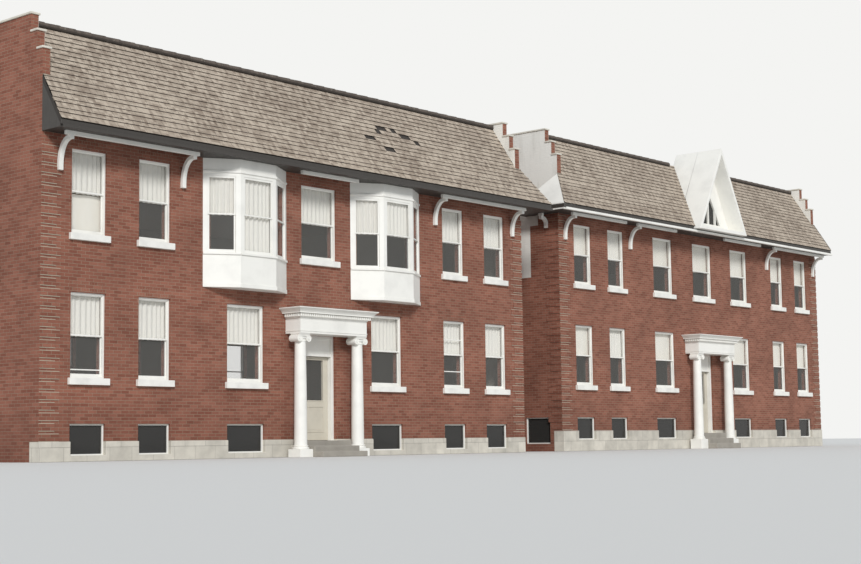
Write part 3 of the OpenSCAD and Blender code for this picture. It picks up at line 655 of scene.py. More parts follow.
def clay_tiles(name, light, dark):
    """Weathered flat clay tiles: dull, each tile its own shade, with painted shade on the lower
    edges and sides.
    """
    sizes = bpy.context.scene.house_row_sizes
    material, tree, shader = new_material(name, 0.9)
    vector, parts, normal = place_sockets(tree)
    gauge = (0 - EAVE_Y) * (RIDGE_Z - EAVE_Z) / (RIDGE_Y - EAVE_Y) / sizes.tile_courses
    course = maths(tree, "FLOOR", maths(tree, "DIVIDE", parts[2], gauge))
    column = maths(tree, "FLOOR", maths(tree, "DIVIDE", parts[0], sizes.tile_width / 2))
    cell = add_node(tree, "ShaderNodeCombineXYZ", {0: course, 1: column}).outputs[0]
    shade = add_node(tree, "ShaderNodeTexWhiteNoise", {"Vector": cell}, noise_dimensions="2D")
    patches = span(tree, noise(tree, vector, 0.8, 4.0), 0.35, 0.65, -0.2, 0.2)
    level = maths(tree, "ADD", span(tree, shade.outputs[0], 0.0, 1.0, 0.0, 0.8), patches)
    body = mixed(tree, level, light, dark)
    lichen = span(tree, noise(tree, vector, 22.0, 5.0), 0.62, 0.75, 0.0, 0.5)
    body = mixed(tree, lichen, body, linear("#c2bcaa"))
    # Faces that look down the slope, and the tile sides, are darkened: painted shade for the shadow
    # lines under each course.
    down = Vector((0, EAVE_Y - RIDGE_Y, EAVE_Z - RIDGE_Z)).normalized()
    facing = maths(tree, "ADD", maths(tree, "MULTIPLY", normal[1], down.y),
                   maths(tree, "MULTIPLY", normal[2], down.z))
    edge = maths(tree, "MAXIMUM", facing, maths(tree, "ABSOLUTE", normal[0]))
    body = mixed(tree, span(tree, edge, 0.5, 0.8), body, linear("#2e2823"))
    tree.links.new(body, shader.inputs["Base Color"])
    bumped(tree, shader, noise(tree, vector, 70.0), 0.0015)
    return material


def make_finishes():
    """Makes every material once."""
    finishes["brick"] = brickwork("fired_clay_brickwork")
    finishes["brick_with_pale_side_patch"] = brickwork("brickwork_with_pale_side_patch", side_pale_patch=True)
    finishes["mortar"] = plain_stone("lime_mortar", linear("#aea08e"), 0.9)
    finishes["base_stone"] = stone_blocks("sawn_limestone_blocks", colour("stone"), 0.62, 0.31)
    finishes["step_stone"] = plain_stone("worn_sandstone_steps", colour("steps"))
    finishes["coping_stone"] = plain_stone("weathered_coping_stone", colour("stone"))
    finishes["sill_stone"] = plain_stone("painted_sill_stone", colour("white_paint"), 0.6)
    finishes["clay_tiles"] = clay_tiles("weathered_clay_tiles", colour("tile"), colour("tile_dark"))
    finishes["ridge_tiles"] = clay_tiles("dark_ridge_tiles", linear("#5d534b"), linear("#453d37"))
    finishes["roof_boards"] = painted_timber("tarred_roof_boards", linear("#332e2a"), 0.8)
    finishes["white_paint"] = painted_timber("white_oil_painted_softwood", colour("white_paint"))
    finishes["dark_paint"] = painted_timber("dark_oil_painted_softwood", colour("dark_paint"), 0.5)
    finishes["door_paint"] = painted_timber("pale_oil_painted_door", colour("door_paint"), 0.4)
    # Mineral felt is dull, sanded, and laid in strips about a metre wide
    felt, tree, shader = new_material("sanded_roofing_felt", 0.95)
    vector, parts = place_sockets(tree)[:2]
    strips = maths(tree, "PINGPONG", parts[0], 0.5)
    seam = span(tree, strips, 0.0, 0.02, 0.55, 1.0)
    sand = span(tree, noise(tree, vector, 150.0), 0.3, 0.7, 0.8, 1.15)
    level = maths(tree, "MULTIPLY", seam, sand)
    tree.links.new(mixed(tree, 1.0, colour("felt"), level_colour(tree, level), "MULTIPLY"),
                   shader.inputs["Base Color"])
    bumped(tree, shader, level, 0.003)
    finishes["roof_felt"] = felt
    # Softwood floor boards are satin with dark gaps between the boards
    boards, tree, shader = new_material("planed_softwood_boards", 0.55)
    vector, parts = place_sockets(tree)[:2]
    width = bpy.context.scene.house_row_sizes.board
    gap = span(tree, maths(tree, "PINGPONG", parts[1], width / 2), 0.0, 0.003, 0.3, 1.0)
    grain = add_node(tree, "ShaderNodeMapping", {"Vector": vector, "Scale": (2.0, 40.0, 40.0)})
    figure = span(tree, noise(tree, grain.outputs[0], 1.0), 0.3, 0.7, 0.8, 1.1)
    level = level_colour(tree, maths(tree, "MULTIPLY", gap, figure))
    tree.links.new(mixed(tree, 1.0, colour("timber"), level, "MULTIPLY"),
                   shader.inputs["Base Color"])
    bumped(tree, shader, gap, 0.002)
    finishes["floor_timber"] = boards
    # Old drawn window glass is glossy, with a thin pale film before the dark rooms: partly street
    # dust, partly painted sky reflection
    # The cellar and dormer glass has a mostly opaque dark film: painted shade for the dark rooms
    # behind it.
    for key, name, film_tint, film in (("window_glass", "drawn_window_glass", "#b4b2ac", 0.1),
                                  ("dark_glass", "glass_with_painted_shade", "#3a3937", 0.75)):
        glass, tree, shader = new_material(name, 0.05, **{
            "Base Color": linear(film_tint), "IOR": 1.45, "Alpha": film, "Specular IOR Level": 0.35})
        vector = place_sockets(tree)[0]
        bumped(tree, shader, noise(tree, vector, 1.2, 1.0), 0.004, 0.6)
        finishes[key] = glass
    # Cast brass goes dull and brown where hands don't polish it
    brass, tree, shader = new_material("worn_cast_brass", 0.35, **{"Metallic": 1.0})
    vector = place_sockets(tree)[0]
    tree.links.new(mixed(tree, span(tree, noise(tree, vector, 30.0), 0.4, 0.6),
                         linear("#8f6f3c"), linear("#4a3a22")), shader.inputs["Base Color"])
    finishes["brass"] = brass
    # Cotton net is thin, so that light comes through its fine weave
    net, tree, shader = new_material("cotton_net", 0.9, **{
        "Base Color": colour("cloth"), "Alpha": 0.92, "Sheen Weight": 0.3})
    vector = place_sockets(tree)[0]
    threads = add_node(tree, "ShaderNodeMapping", {"Vector": vector, "Scale": (900.0,) * 3})
    bumped(tree, shader, noise(tree, threads.outputs[0], 1.0, 0.0), 0.0004)
    finishes["net"] = net
    # Waxed holland blinds are closer woven, yellowed and slightly streaked
    blind, tree, shader = new_material("waxed_holland_cloth", 0.75)
    vector = place_sockets(tree)[0]
    streaks = add_node(tree, "ShaderNodeMapping", {"Vector": vector, "Scale": (6.0, 6.0, 1.5)})
    tree.links.new(mixed(tree, noise(tree, streaks.outputs[0], 1.0), linear("#fbf8f0"),
                         linear("#efe9da")), shader.inputs["Base Color"])
    finishes["blind"] = blind


def dress(obj, finish, body=ROW, replaces=()):
    """Gives a finished piece its material and body, and hides the nodes that it stands for."""
    obj.data.materials.clear()
    obj.data.materials.append(finishes[finish])
    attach(obj, body)
    if replaces:
        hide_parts(*replaces)
    return obj


SPECIAL_FINISHES = {
    "right_side_wall": "brick_with_pale_side_patch",
    "left_tiled_slope": "roof_boards",
    "right_tiled_slope": "roof_boards",
    "dormer_glass": "dark_glass",
}


def second_finish(obj, finish, test):
    """Gives another finish to the faces whose middle and normal pass a test."""
    obj.data.materials.append(finishes[finish])
    for polygon in obj.data.polygons:
        if test(polygon.center, polygon.normal):
            polygon.material_index = len(obj.data.materials) - 1


class HOUSEROW_OT_finishes(bpy.types.Operator):
    """Makes the materials and gives every node of the frame its own"""
    bl_idname = "house_row.finishes"
    bl_label = "Finishes"

    def execute(self, context):
        make_finishes()
        for entry in frame["record"]["subparts"]:
            mesh = frame["nodes"][entry["node"]].data
            slot = entry["material_slot"]
            mesh.materials.clear()
            mesh.materials.append(finishes[SPECIAL_FINISHES.get(entry["node"], slot)])
        return {"FINISHED"}


def slope_matrix(b):
    """From a flat field (X along the row, Y up the slope, Z out of it) to a block's slope."""
    up = Vector((0, RIDGE_Y - EAVE_Y, RIDGE_Z - EAVE_Z)).normalized()
    side = Vector((1, 0, 0))
    out = side.cross(up)
    origin = BLOCK_AT[b] + Vector((0, EAVE_Y, EAVE_Z))
    matrix = Matrix((side, up, out)).transposed().to_4x4()
    matrix.translation = origin
    return matrix


def tile_field(b, x, s, seed, planes=()):
    """Rows of single tiles between two places along the row and two up the slope."""
    sizes = bpy.context.scene.house_row_sizes
    slope = math.hypot(RIDGE_Y - EAVE_Y, RIDGE_Z - EAVE_Z)
    gauge = (0 - EAVE_Y) * slope / (RIDGE_Y - EAVE_Y) / sizes.tile_courses
    width = sizes.tile_width
    first = math.floor(x[0] / width) - 1
    columns = math.ceil((x[1] - x[0]) / width) + 3
    start = round(s[0] / gauge)
    pairs = math.ceil((s[1] - s[0]) / gauge / 2) + 1
    tiles = []
    for row in (0, 1):
        left = first * width + (row % 2) * width / 2
        low = (start + row) * gauge
        lap = 0.012 if low > 0 else 0.035
        tile = block((left + 0.002, low - lap, 0.001), (left + width - 0.002, low + gauge, 0.034))
        edit(tile)
        select_where(tile, lambda p: p.y > low + gauge / 2 and p.z > 0.01)
        bpy.ops.transform.translate(value=(0, 0, -0.024))
        done(tile)
        tiles.append(tile)
    field = join(tiles, "tile_field")
    with_modifiers(field, repeated(columns, (width, 0, 0)), repeated(pairs, (0, 2 * gauge, 0)))
    edit(field)
    bpy.ops.transform.vertex_random(offset=0.0022, uniform=1.0, normal=0.0, seed=seed)
    done(field)
    cut(field, (x[0], 0, 0), (-1, 0, 0))
    cut(field, (x[1], 0, 0), (1, 0, 0))
    cut(field, (0, s[1], 0), (0, 1, 0))
    if s[0] > 0:
        cut(field, (0, s[0] - 0.012, 0), (0, -1, 0))
    field.data.transform(slope_matrix(b))
    for plane in planes:
        cut(field, *plane)
    return field


def dormer_plane(side):
    """Outer plane of the dormer's left (-1) or right (1) side, just clear of it."""
    rate = (DORMER_TOP - DORMER_FOOT) / DORMER_HALF
    point = BLOCK_AT[RIGHT] + Vector((DORMER_X + side * (DORMER_HALF + 0.004), 0, DORMER_FOOT))
    return point, Vector((-side * rate, 0, -1)).normalized()


def hip_plane(b):
    """Upright plane over the hip line of a block's return beside the link."""
    side = 1 if b == LEFT else -1
    point = BLOCK_AT[b] + Vector((side * HALF_W, 0, EAVE_Z))
    return point, Vector((side * -EAVE_Y, RETURN_W, 0)).normalized()


class HOUSEROW_OT_roof_tiles(bpy.types.Operator):
    """Lays the tiles on both front slopes, with the ridges and the few missing tiles"""
    bl_idname = "house_row.roof_tiles"
    bl_label = "Roof tiles"

    def execute(self, context):
        slope = math.hypot(RIDGE_Y - EAVE_Y, RIDGE_Z - EAVE_Z)
        seam = slope * (0 - EAVE_Y) / (RIDGE_Y - EAVE_Y)
        inner = HALF_W - PARAPET_T
        hipped = HALF_W + RETURN_W
        left = [tile_field(LEFT, (-HALF_W, hipped), (0, seam), 3, [hip_plane(LEFT)]),
                tile_field(LEFT, (-inner, inner), (seam, slope - 0.02), 4)]
        right = []
        for side, outer, extra in ((-1, hipped, [hip_plane(RIGHT)]), (1, HALF_W, [])):
            edge = DORMER_X + side * 0.1
            for s, half, seed, planes in (((0, seam), outer, 5, extra),
                                          ((seam, slope - 0.02), inner, 6, [])):
                span_x = sorted((side * half, edge))
                planes = [dormer_plane(side)] + planes
                right.append(tile_field(RIGHT, span_x, s, seed + side, planes))
        left = join(left, "left_roof_tiles")
        matrix = slope_matrix(LEFT)
        edit(left)
        bpy.ops.mesh.select_all(action="DESELECT")
        mesh = bmesh.from_edit_mesh(left.data)
        for x, s in MISSING_TILES:
            place = matrix @ Vector((x, s, 0.03))
            nearest = min(mesh.faces, key=lambda f: (f.calc_center_median() - place).length_squared)
            nearest.select = True
        bmesh.update_edit_mesh(left.data)
        bpy.ops.mesh.select_linked(delimit=set())
        bpy.ops.mesh.delete(type="VERT")
        done(left)
        dress(left, "clay_tiles")
        dress(join(right, "right_roof_tiles"), "clay_tiles")
        ridges = []
        for b in (LEFT, RIGHT):
            low, high = -inner, inner
            count = int((high - low) / 0.42)
            length = (high - low) / count
            deselect()
            bpy.ops.mesh.primitive_cylinder_add(vertices=16, radius=0.085, depth=length - 0.008,
                                                rotation=(0, math.pi / 2, 0))
            ridge = apply_place(bpy.context.object)
            cut(ridge, (0, 0, -0.05), (0, 0, -1))
            edit(ridge)
            select_where(ridge, lambda p: p.x > 0)
            bpy.ops.transform.resize(value=(1, 1.12, 1.12), center_override=(length / 2, 0, -0.02))
            done(ridge)
            ridge.data.transform(in_block(b, low + length / 2, RIDGE_Y - 0.02, RIDGE_Z - 0.015))
            with_modifiers(ridge, repeated(count, (length, 0, 0)))
            if b == RIGHT:
                edit(ridge)
                middle = BLOCK_AT[RIGHT].x + DORMER_X
                select_where(ridge, lambda p: abs(p.x - middle) < 0.28)
                bpy.ops.mesh.select_linked(delimit=set())
                bpy.ops.mesh.delete(type="VERT")
                done(ridge)
            ridges.append(ridge)
        dress(join(ridges, "ridge_tiles"), "ridge_tiles")
        return {"FINISHED"}


class HOUSEROW_OT_brick_dressings(bpy.types.Operator):
    """Builds the brick corner blocks and the flat arches over the windows"""
    bl_idname = "house_row.brick_dressings"
    bl_label = "Brick dressings"

    def execute(self, context):
        sizes = context.scene.house_row_sizes
        proud = sizes.quoin_proud
        corners, ledges = [], []
        for b, sides in ((LEFT, (-1, 1)), (RIGHT, (-1, 1))):
            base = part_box("left_front_wall_a" if b == LEFT else "right_front_wall_a")[0].z
            bottom = math.ceil(base / sizes.brick_course) * sizes.brick_course
            top = BLOCK_AT[b].z + SOFFIT_Z
            count = int((top - bottom) / (3 * sizes.brick_course))
            for side in sides:
                wraps = (b == LEFT and side == 1) or (b == RIGHT and side == -1)
                outer = BLOCK_AT[b].x + side * (HALF_W + (proud if wraps else -0.001))
                for i in range(count):
                    width = sizes.quoin_widths[i % 2]
                    low_z = bottom + i * 3 * sizes.brick_course
                    x = sorted((outer, BLOCK_AT[b].x + side * (HALF_W - width)))
                    deep = sizes.quoin_widths[(i + 1) % 2] if wraps else 0.05
                    if wraps:
                        inner = BLOCK_AT[b].x + side * (HALF_W - 0.002)
                        flank = sorted((outer, inner))
                        corners.append(block(
                            (flank[0], BLOCK_AT[b].y, low_z),
                            (flank[1], BLOCK_AT[b].y + deep, low_z + 0.150), 0.003))
                    corners.append(block((x[0], BLOCK_AT[b].y - proud, low_z),
                                         (x[1], BLOCK_AT[b].y + 0.002, low_z + 0.150), 0.003))
                    for ledge_z in (low_z - 0.016, low_z + 0.149):
                        ledges.append(block((x[0], BLOCK_AT[b].y - proud * 0.9, ledge_z),
                                            (x[1], BLOCK_AT[b].y + 0.002, ledge_z + 0.017), 0.003))
        dress(join(corners, "brick_corner_blocks"), "brick")
        dress(join(ledges, "corner_block_mortar"), "mortar")
        arches = []
        brick = block((-0.0325, -0.005, 0), (0.0325, 0.02, 0.215), 0.002)
        for low, high, turn in window_boxes():
            width = high.x - low.x
            if high.z - low.z < LOW_WINDOW_H or width < 0.3:
                continue
            count = int((width + 0.16) / sizes.brick_course)
            start = -(count - 1) / 2 * sizes.brick_course
            row = copy_at(brick, Matrix.Translation((start, 0, 0)))
            with_modifiers(row, repeated(count, (sizes.brick_course, 0, 0)))
            face = 0.05
            y = low.y - face if turn == 0 else high.y + face
            row.data.transform(place_of((low.x + high.x) / 2, y, high.z + 0.005, turn))
            arches.append(row)
        remove([brick])
        dress(join(arches, "flat_brick_arches"), "brick")
        return {"FINISHED"}


def window_boxes():
    """Boxes of all window frames with their turn: 0 faces the street, pi the rear."""
    found = []
    for node, turn in (("front_window_frames", 0.0), ("rear_window_frames", math.pi)):
        for low, high in solids_of(node):
            facing = turn
            if high.x - low.x < high.y - low.y:
                facing = SIDE_TURN
            found.append((low, high, facing))
    return found


def sash_window(width, height, bars=()):
    """Joinery and panes of a double-hung window, with its upper sash before the lower one.

    bars are the heights of glazing bars as shares of the height."""
    stile = bpy.context.scene.house_row_sizes.stile
    rim, foot, head = 0.042, 0.045, 0.05
    middle = height / 2
    clear = width - 2 * rim + 0.016
    upper_h = height - middle - head + 0.028
    lower_h = middle - foot + 0.028
    joinery = [board_frame(width, height, (rim, rim, foot, head), 0.11, 0.004)]
    panes = []
    for y, z, sash_h, rails in ((0.022, middle - 0.018, upper_h, (0.038, stile)),
                                (0.062, foot - 0.010, lower_h, (0.065, 0.038))):
        sash = board_frame(clear, sash_h, (stile, stile) + rails, 0.036)
        sash.data.transform(Matrix.Translation((0, y, z)))
        joinery.append(sash)
        inner = clear / 2 - stile + 0.006
        panes.append(block((-inner, y + 0.016, z + rails[0] - 0.006),
                           (inner, y + 0.020, z + sash_h - rails[1] + 0.006), 0.001))
    for share in bars:
        y = 0.068 if share < 0.5 else 0.028
        joinery.append(block((-clear / 2 + stile - 0.004, y, height * share - 0.014),
                             (clear / 2 - stile + 0.004, y + 0.024, height * share + 0.014), 0.004))
    return join(joinery, "sash_joinery"), join(panes, "sash_panes")


def low_window(width, height):
    """Joinery and pane of a fixed basement window with slim members."""
    rim = 0.034
    joinery = board_frame(width, height, (rim, rim, rim, rim), 0.09, 0.004)
    inner = width / 2 - rim + 0.006
    pane = block((-inner, 0.040, rim - 0.006), (inner, 0.044, height - rim + 0.006), 0.001)
    return joinery, pane


def glazing_bars(low, high, turn):
    """Heights of the bars of the few street windows that have them."""
    x = (low.x + high.x) / 2 - BLOCK_AT[LEFT].x
    if turn == 0.0 and high.z < 4:
        for place, bars in ((-7.266, (0.10,)), (5.392, (0.25, 0.72))):
            if abs(x - place) < 0.05 and high.z - low.z > 1.5:
                return bars
    return ()


class HOUSEROW_OT_windows(bpy.types.Operator):
    """Builds the sash windows at the front and rear, the bay sashes and the low windows"""
    bl_idname = "house_row.windows"
    bl_label = "Windows"

    def execute(self, context):
        patterns = {}
        placed = {side: ([], []) for side in ("front", "rear")}
        for low, high, turn in window_boxes():
            width = max(high.x - low.x, high.y - low.y)
            height = high.z - low.z
            bars = glazing_bars(low, high, turn)
            key = (round(width, 3), round(height, 3), bars)
            if key not in patterns:
                low_one = height < LOW_WINDOW_H
                patterns[key] = (low_window(width, height) if low_one
                                 else sash_window(width, height, bars))
            x = low.x if turn == SIDE_TURN else (low.x + high.x) / 2
            y = {0.0: low.y, math.pi: high.y}.get(turn, (low.y + high.y) / 2)
            group = placed["rear" if turn == math.pi else "front"]
            for pattern, copies in zip(patterns[key], group):
                copies.append(copy_at(pattern, place_of(x, y, low.z, turn)))
        for joinery, panes in patterns.values():
            remove([joinery, panes])
        for side, name in (("front", "street"), ("rear", "rear")):
            joinery, panes = placed[side]
            dress(join(joinery, name + "_sash_windows"), "white_paint",
                  replaces=[side + "_window_frames"])
            pane = dress(join(panes, name + "_window_panes"), "window_glass",
                         replaces=[side + "_window_glass"])
            second_finish(pane, "dark_glass", lambda p, n: p.z < CELLAR_TOP[p.x > 0])
        height = BAY_HEAD_Z - BAY_SILL_Z
        bay_patterns = [bay_sash(width, height) for width in BAY_OPENINGS]
        sashes, panes = [], []
        for x in (-BAY_X, BAY_X):
            for face in (-1, 0, 1):
                matrix = bay_face(x, face) @ Matrix.Translation((0, 0.008, BAY_SILL_Z))
                joinery, glass = bay_patterns[abs(face)]
                sashes.append(copy_at(joinery, matrix))
                panes.append(copy_at(glass, matrix))
        for joinery, glass in bay_patterns:
            remove([joinery, glass])
        dress(join(sashes, "bay_sash_windows"), "white_paint",
              replaces=["bay_sashes"])
        dress(join(panes, "bay_window_panes"), "window_glass",
              replaces=["bay_glass"])
        return {"FINISHED"}


def bay_sash(width, height):
    """Joinery and panes of a slim double-hung pair of sashes for one face of a bay."""
    middle = height / 2
    stile = 0.04
    joinery, panes = [], []
    for y, z, sash_h, rails in ((0.002, middle - 0.018, height - middle + 0.018, (0.034, 0.05)),
                                (0.027, 0.0, middle + 0.016, (0.07, 0.034))):
        sash = board_frame(width - 0.004, sash_h, (stile, stile) + rails, 0.024)
        sash.data.transform(Matrix.Translation((0, y, z)))
        joinery.append(sash)
        inner = width / 2 - stile + 0.004
        panes.append(block((-inner, y + 0.010, z + rails[0] - 0.006),
                           (inner, y + 0.014, z + sash_h - rails[1] + 0.006), 0.001))
    return join(joinery, "bay_joinery"), join(panes, "bay_panes")


def bay_face(x, face):
    """Matrix to the outer face of a bay: 0 the front, -1 and 1 the slanted sides."""
    cant_x = (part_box("bay_window_a")[1].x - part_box("bay_window_a")[0].x - BAY_FRONT_W) / 2
    if face == 0:
        return in_block(LEFT, x, -BAY_OUT)
    turn = face * math.atan2(BAY_OUT, cant_x)
    middle = in_block(LEFT, x + face * (BAY_FRONT_W + cant_x) / 2, -BAY_OUT / 2)
    return middle @ Matrix.Rotation(turn, 4, "Z")


def hanging_cloth(width, drop, folds, depth):
    """A sheet that hangs from Z = 0, in folds that deepen towards its foot."""
    deselect()
    bpy.ops.mesh.primitive_grid_add(x_subdivisions=max(8, folds * 10), y_subdivisions=6, size=1,
                                    location=(0, 0, -drop / 2), rotation=(math.pi / 2, 0, 0))
    obj = bpy.context.object
    obj.scale = (width, drop, 1)
    apply_place(obj)
    for vert in obj.data.vertices:
        along = vert.co.x / width + 0.5
        deepness = depth * (0.6 - 0.4 * vert.co.z / drop)
        vert.co.y = deepness * math.sin(2 * math.pi * folds * along + 0.9 * math.sin(7 * along))
    for polygon in obj.data.polygons:
        polygon.use_smooth = True
    return obj


class HOUSEROW_OT_curtains(bpy.types.Operator):
    """Hangs the net curtains and the blinds behind the street windows"""
    bl_idname = "house_row.curtains"
    bl_label = "Curtains"

    def execute(self, context):
        places = []
        for low, high, turn in window_boxes():
            if turn != 0.0 or high.z - low.z < 1.5 or abs(low.x + high.x) < 4:
                continue
            b = RIGHT if low.x > 0 else LEFT
            middle = (low.x + high.x) / 2
            width, height = high.x - low.x - 0.02, high.z - low.z
            top = Matrix.Translation((middle, high.y + 0.035, high.z - 0.02))
            plain = b == RIGHT and abs(middle - BLOCK_AT[b].x + 5.392) > 0.1
            places.append((top, width, height * 0.5, plain, "street_sash_windows"))
            if b == LEFT and middle - BLOCK_AT[b].x < -7 and high.z > 4:
                half_down = Matrix.Translation((0, 0, -height * 0.5 - 0.02))
                places.append((half_down @ top, width, height * 0.44, True, "street_sash_windows"))
        for x in (-BAY_X, BAY_X):
            for face in (-1, 0):
                top = bay_face(x, face) @ Matrix.Translation((0, 0.105, BAY_HEAD_Z - 0.02))
                drop = (BAY_HEAD_Z - BAY_SILL_Z) * (0.97 if face == 0 and x < 0 else 0.5)
                width = BAY_OPENINGS[abs(face)] - 0.02
                places.append((top, width, drop, False, "bay_sash_windows"))
        rods = []
        for number, (top, width, drop, plain, carrier) in enumerate(places):
            folds = 0 if plain else round(width / 0.14)
            cloth = hanging_cloth(width, drop, folds, 0.026)
            cloth.data.transform(top)
            cloth.name = f"{'blind' if plain else 'net_curtain'}_{number + 1}"
            dress(cloth, "blind" if plain else "net")
            half = width / 2
            rod = turned([(0.003, -half), (0.007, 0.003 - half), (0.005, 0.010 - half),
                          (0.005, half - 0.010), (0.007, half - 0.003), (0.003, half)], 8)
            rod.data.transform(top @ Matrix.Rotation(math.pi / 2, 4, "Y"))
            rods.append(rod)
        dress(join(rods, "curtain_rods"), "brass")
        return {"FINISHED"}


class HOUSEROW_OT_bays(bpy.types.Operator):
    """Builds the joinery of the two canted bays"""
    bl_idname = "house_row.bays"
    bl_label = "Bays"

    def execute(self, context):
        face_w = {0: BAY_FRONT_W, 1: math.hypot(BAY_OUT, (BAY_W - BAY_FRONT_W) / 2)}
        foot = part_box("bay_window_a")[0].z
        for name, x in (("bay_window_a", -BAY_X), ("bay_window_b", BAY_X)):
            shell = eased_copy(name, name + "_shell", 0.006)
            strips = [shell]
            for face in (-1, 0, 1):
                half = face_w[abs(face)] / 2
                matrix = bay_face(x, face)
                sill = block((-half + 0.004, -0.035, BAY_SILL_Z - 0.06),
                             (half - 0.004, 0.02, BAY_SILL_Z - 0.005), 0.006)
                crown = block((-half, -0.028, BAY_HEAD_Z + 0.075),
                              (half, 0.01, BAY_HEAD_Z + 0.13), 0.010, 2)
                foot_strip = block((-half, -0.018, foot), (half, 0.01, foot + 0.10), 0.006)
                for strip in (sill, crown, foot_strip):
                    strip.data.transform(matrix)
                    strips.append(strip)
            piece = join(strips, name + "_joinery")
            dress(piece, "white_paint", replaces=[name])
        return {"FINISHED"}


class HOUSEROW_OT_stonework(bpy.types.Operator):
    """Eases the edges of the sills, copings, base and steps"""
    bl_idname = "house_row.stonework"
    bl_label = "Stonework"

    def execute(self, context):
        for node, name, width, finish, slot in (
                ("window_sills", "weathered_sills", 0.008, "sill_stone", "sill_stone"),
                ("parapet_copings", "weathered_copings", 0.010, "coping_stone", "coping_stone"),
                ("stone_bases", "limestone_bases", 0.012, "base_stone", "base_stone"),
                ("entrance_steps", "worn_steps", 0.015, "step_stone", "step_stone")):
            dress(eased_copy(node, name, width), finish, replaces=[node])
        return {"FINISHED"}


class HOUSEROW_OT_eaves(bpy.types.Operator):
    """Eases the eaves and the curved brackets and beams, and adds the fascia boards"""
    bl_idname = "house_row.eaves"
    bl_label = "Eaves"

    def execute(self, context):
        for node, name, finish in (("left_eaves", "left_eaves_boards", "dark_paint"),
                                   ("right_eaves", "right_eaves_boards", "white_paint"),
                                   ("eaves_brackets", "carved_brackets", "white_paint")):
            piece = eased_copy(node, name, 0.005)
            dress(piece, finish, replaces=[node])
            if node == "right_eaves":
                # The downward faces of the soffit behind the gutter take the dark paint: painted
                # shade for the shade under the eaves.
                ceiling = BLOCK_AT[RIGHT].z + SOFFIT_Z + 0.05
                gutter_back = BLOCK_AT[RIGHT].y + EAVE_Y + 0.02
                second_finish(piece, "dark_paint", lambda p, n: (
                    n.z < -0.7 and p.z < ceiling and p.y > gutter_back))
        boards = []
        for b, side in ((LEFT, 1), (RIGHT, -1)):
            outer = side * (HALF_W + RETURN_W)
            spans = [sorted((outer, -side * HALF_W))]
            if b == RIGHT:
                beside = DORMER_HALF + 0.02
                spans = [(spans[0][0], DORMER_X - beside), (DORMER_X + beside, spans[0][1])]
            for x in spans:
                board = block((x[0], EAVE_Y - 0.020, FASCIA_Z[0]),
                              (x[1], EAVE_Y - 0.001, FASCIA_Z[1]), 0.004)
                board.data.transform(in_block(b))
                boards.append(board)
            x = sorted((outer + side * 0.001, outer + side * 0.020))
            board = block((x[0], EAVE_Y - 0.020, FASCIA_Z[0]),
                          (x[1], RETURN_L, FASCIA_Z[1]), 0.004)
            board.data.transform(in_block(b))
            boards.append(board)
        dress(join(boards, "fascia_boards"), "dark_paint")
        return {"FINISHED"}


def ionic_column(height, plinth_h):
    """A smooth column with a moulded base and a scrolled capital, foot at Z = 0."""
    foot = plinth_h
    neck = height - 0.21
    lower, upper = 0.165, 0.140
    profile = [(0.205, foot), (0.215, foot + 0.012), (0.215, foot + 0.034), (0.205, foot + 0.046),
               (0.182, foot + 0.050), (0.178, foot + 0.062), (0.192, foot + 0.070),
               (0.192, foot + 0.086), (0.176, foot + 0.094), (lower, foot + 0.10)]
    steps = 6
    for i in range(1, steps + 1):
        share = i / steps
        swell = 0.004 * math.sin(math.pi * share)
        profile.append((lower + (upper - lower) * share + swell,
                        foot + 0.10 + (neck - foot - 0.10) * share))
    profile += [(0.152, neck + 0.006), (0.152, neck + 0.022), (0.142, neck + 0.028),
                (0.142, neck + 0.055), (0.165, neck + 0.075), (0.178, neck + 0.10),
                (0.172, neck + 0.12)]
    shaft = turned(profile, 32)
    plinth = block((-0.22, -0.22, 0), (0.22, 0.22, plinth_h), 0.010, 2)
    levels = [(height - 0.05, 0), (height - 0.035, 0.006), (height - 0.018, 0.02), (height, 0.02)]
    abacus = stacked((-0.17, 0.17), -0.155, levels, 0.155)
    scrolls = []
    for side in (-1, 1):
        deselect()
        bpy.ops.mesh.primitive_cylinder_add(vertices=20, radius=0.088, depth=0.31,
                                            rotation=(math.pi / 2, 0, 0))
        scroll = apply_place(bpy.context.object)
        edit(scroll)
        bpy.ops.mesh.select_mode(type="FACE")
        for thickness, depth in ((0.012, 0), (0.002, -0.010), (0.016, 0), (0.002, 0.008),
                                 (0.012, 0), (0.002, -0.008), (0.010, 0), (0.002, 0.012)):
            mesh = bmesh.from_edit_mesh(scroll.data)
            ends = [f for f in mesh.faces if len(f.verts) == 20]
            for face in mesh.faces:
                face.select = face in ends
            bmesh.update_edit_mesh(scroll.data)
            bpy.ops.mesh.inset(thickness=thickness, depth=depth, use_individual=True)
        bpy.ops.mesh.select_mode(type="VERT")
        done(scroll)
        scroll.data.transform(Matrix.Translation((side * 0.155, 0, height - 0.128)))
        scrolls.append(scroll)
    band = block((-0.155, -0.150, height - 0.075), (0.155, 0.150, height - 0.045), 0.004)
    return join([shaft, plinth, abacus, band] + scrolls, "ionic_column")


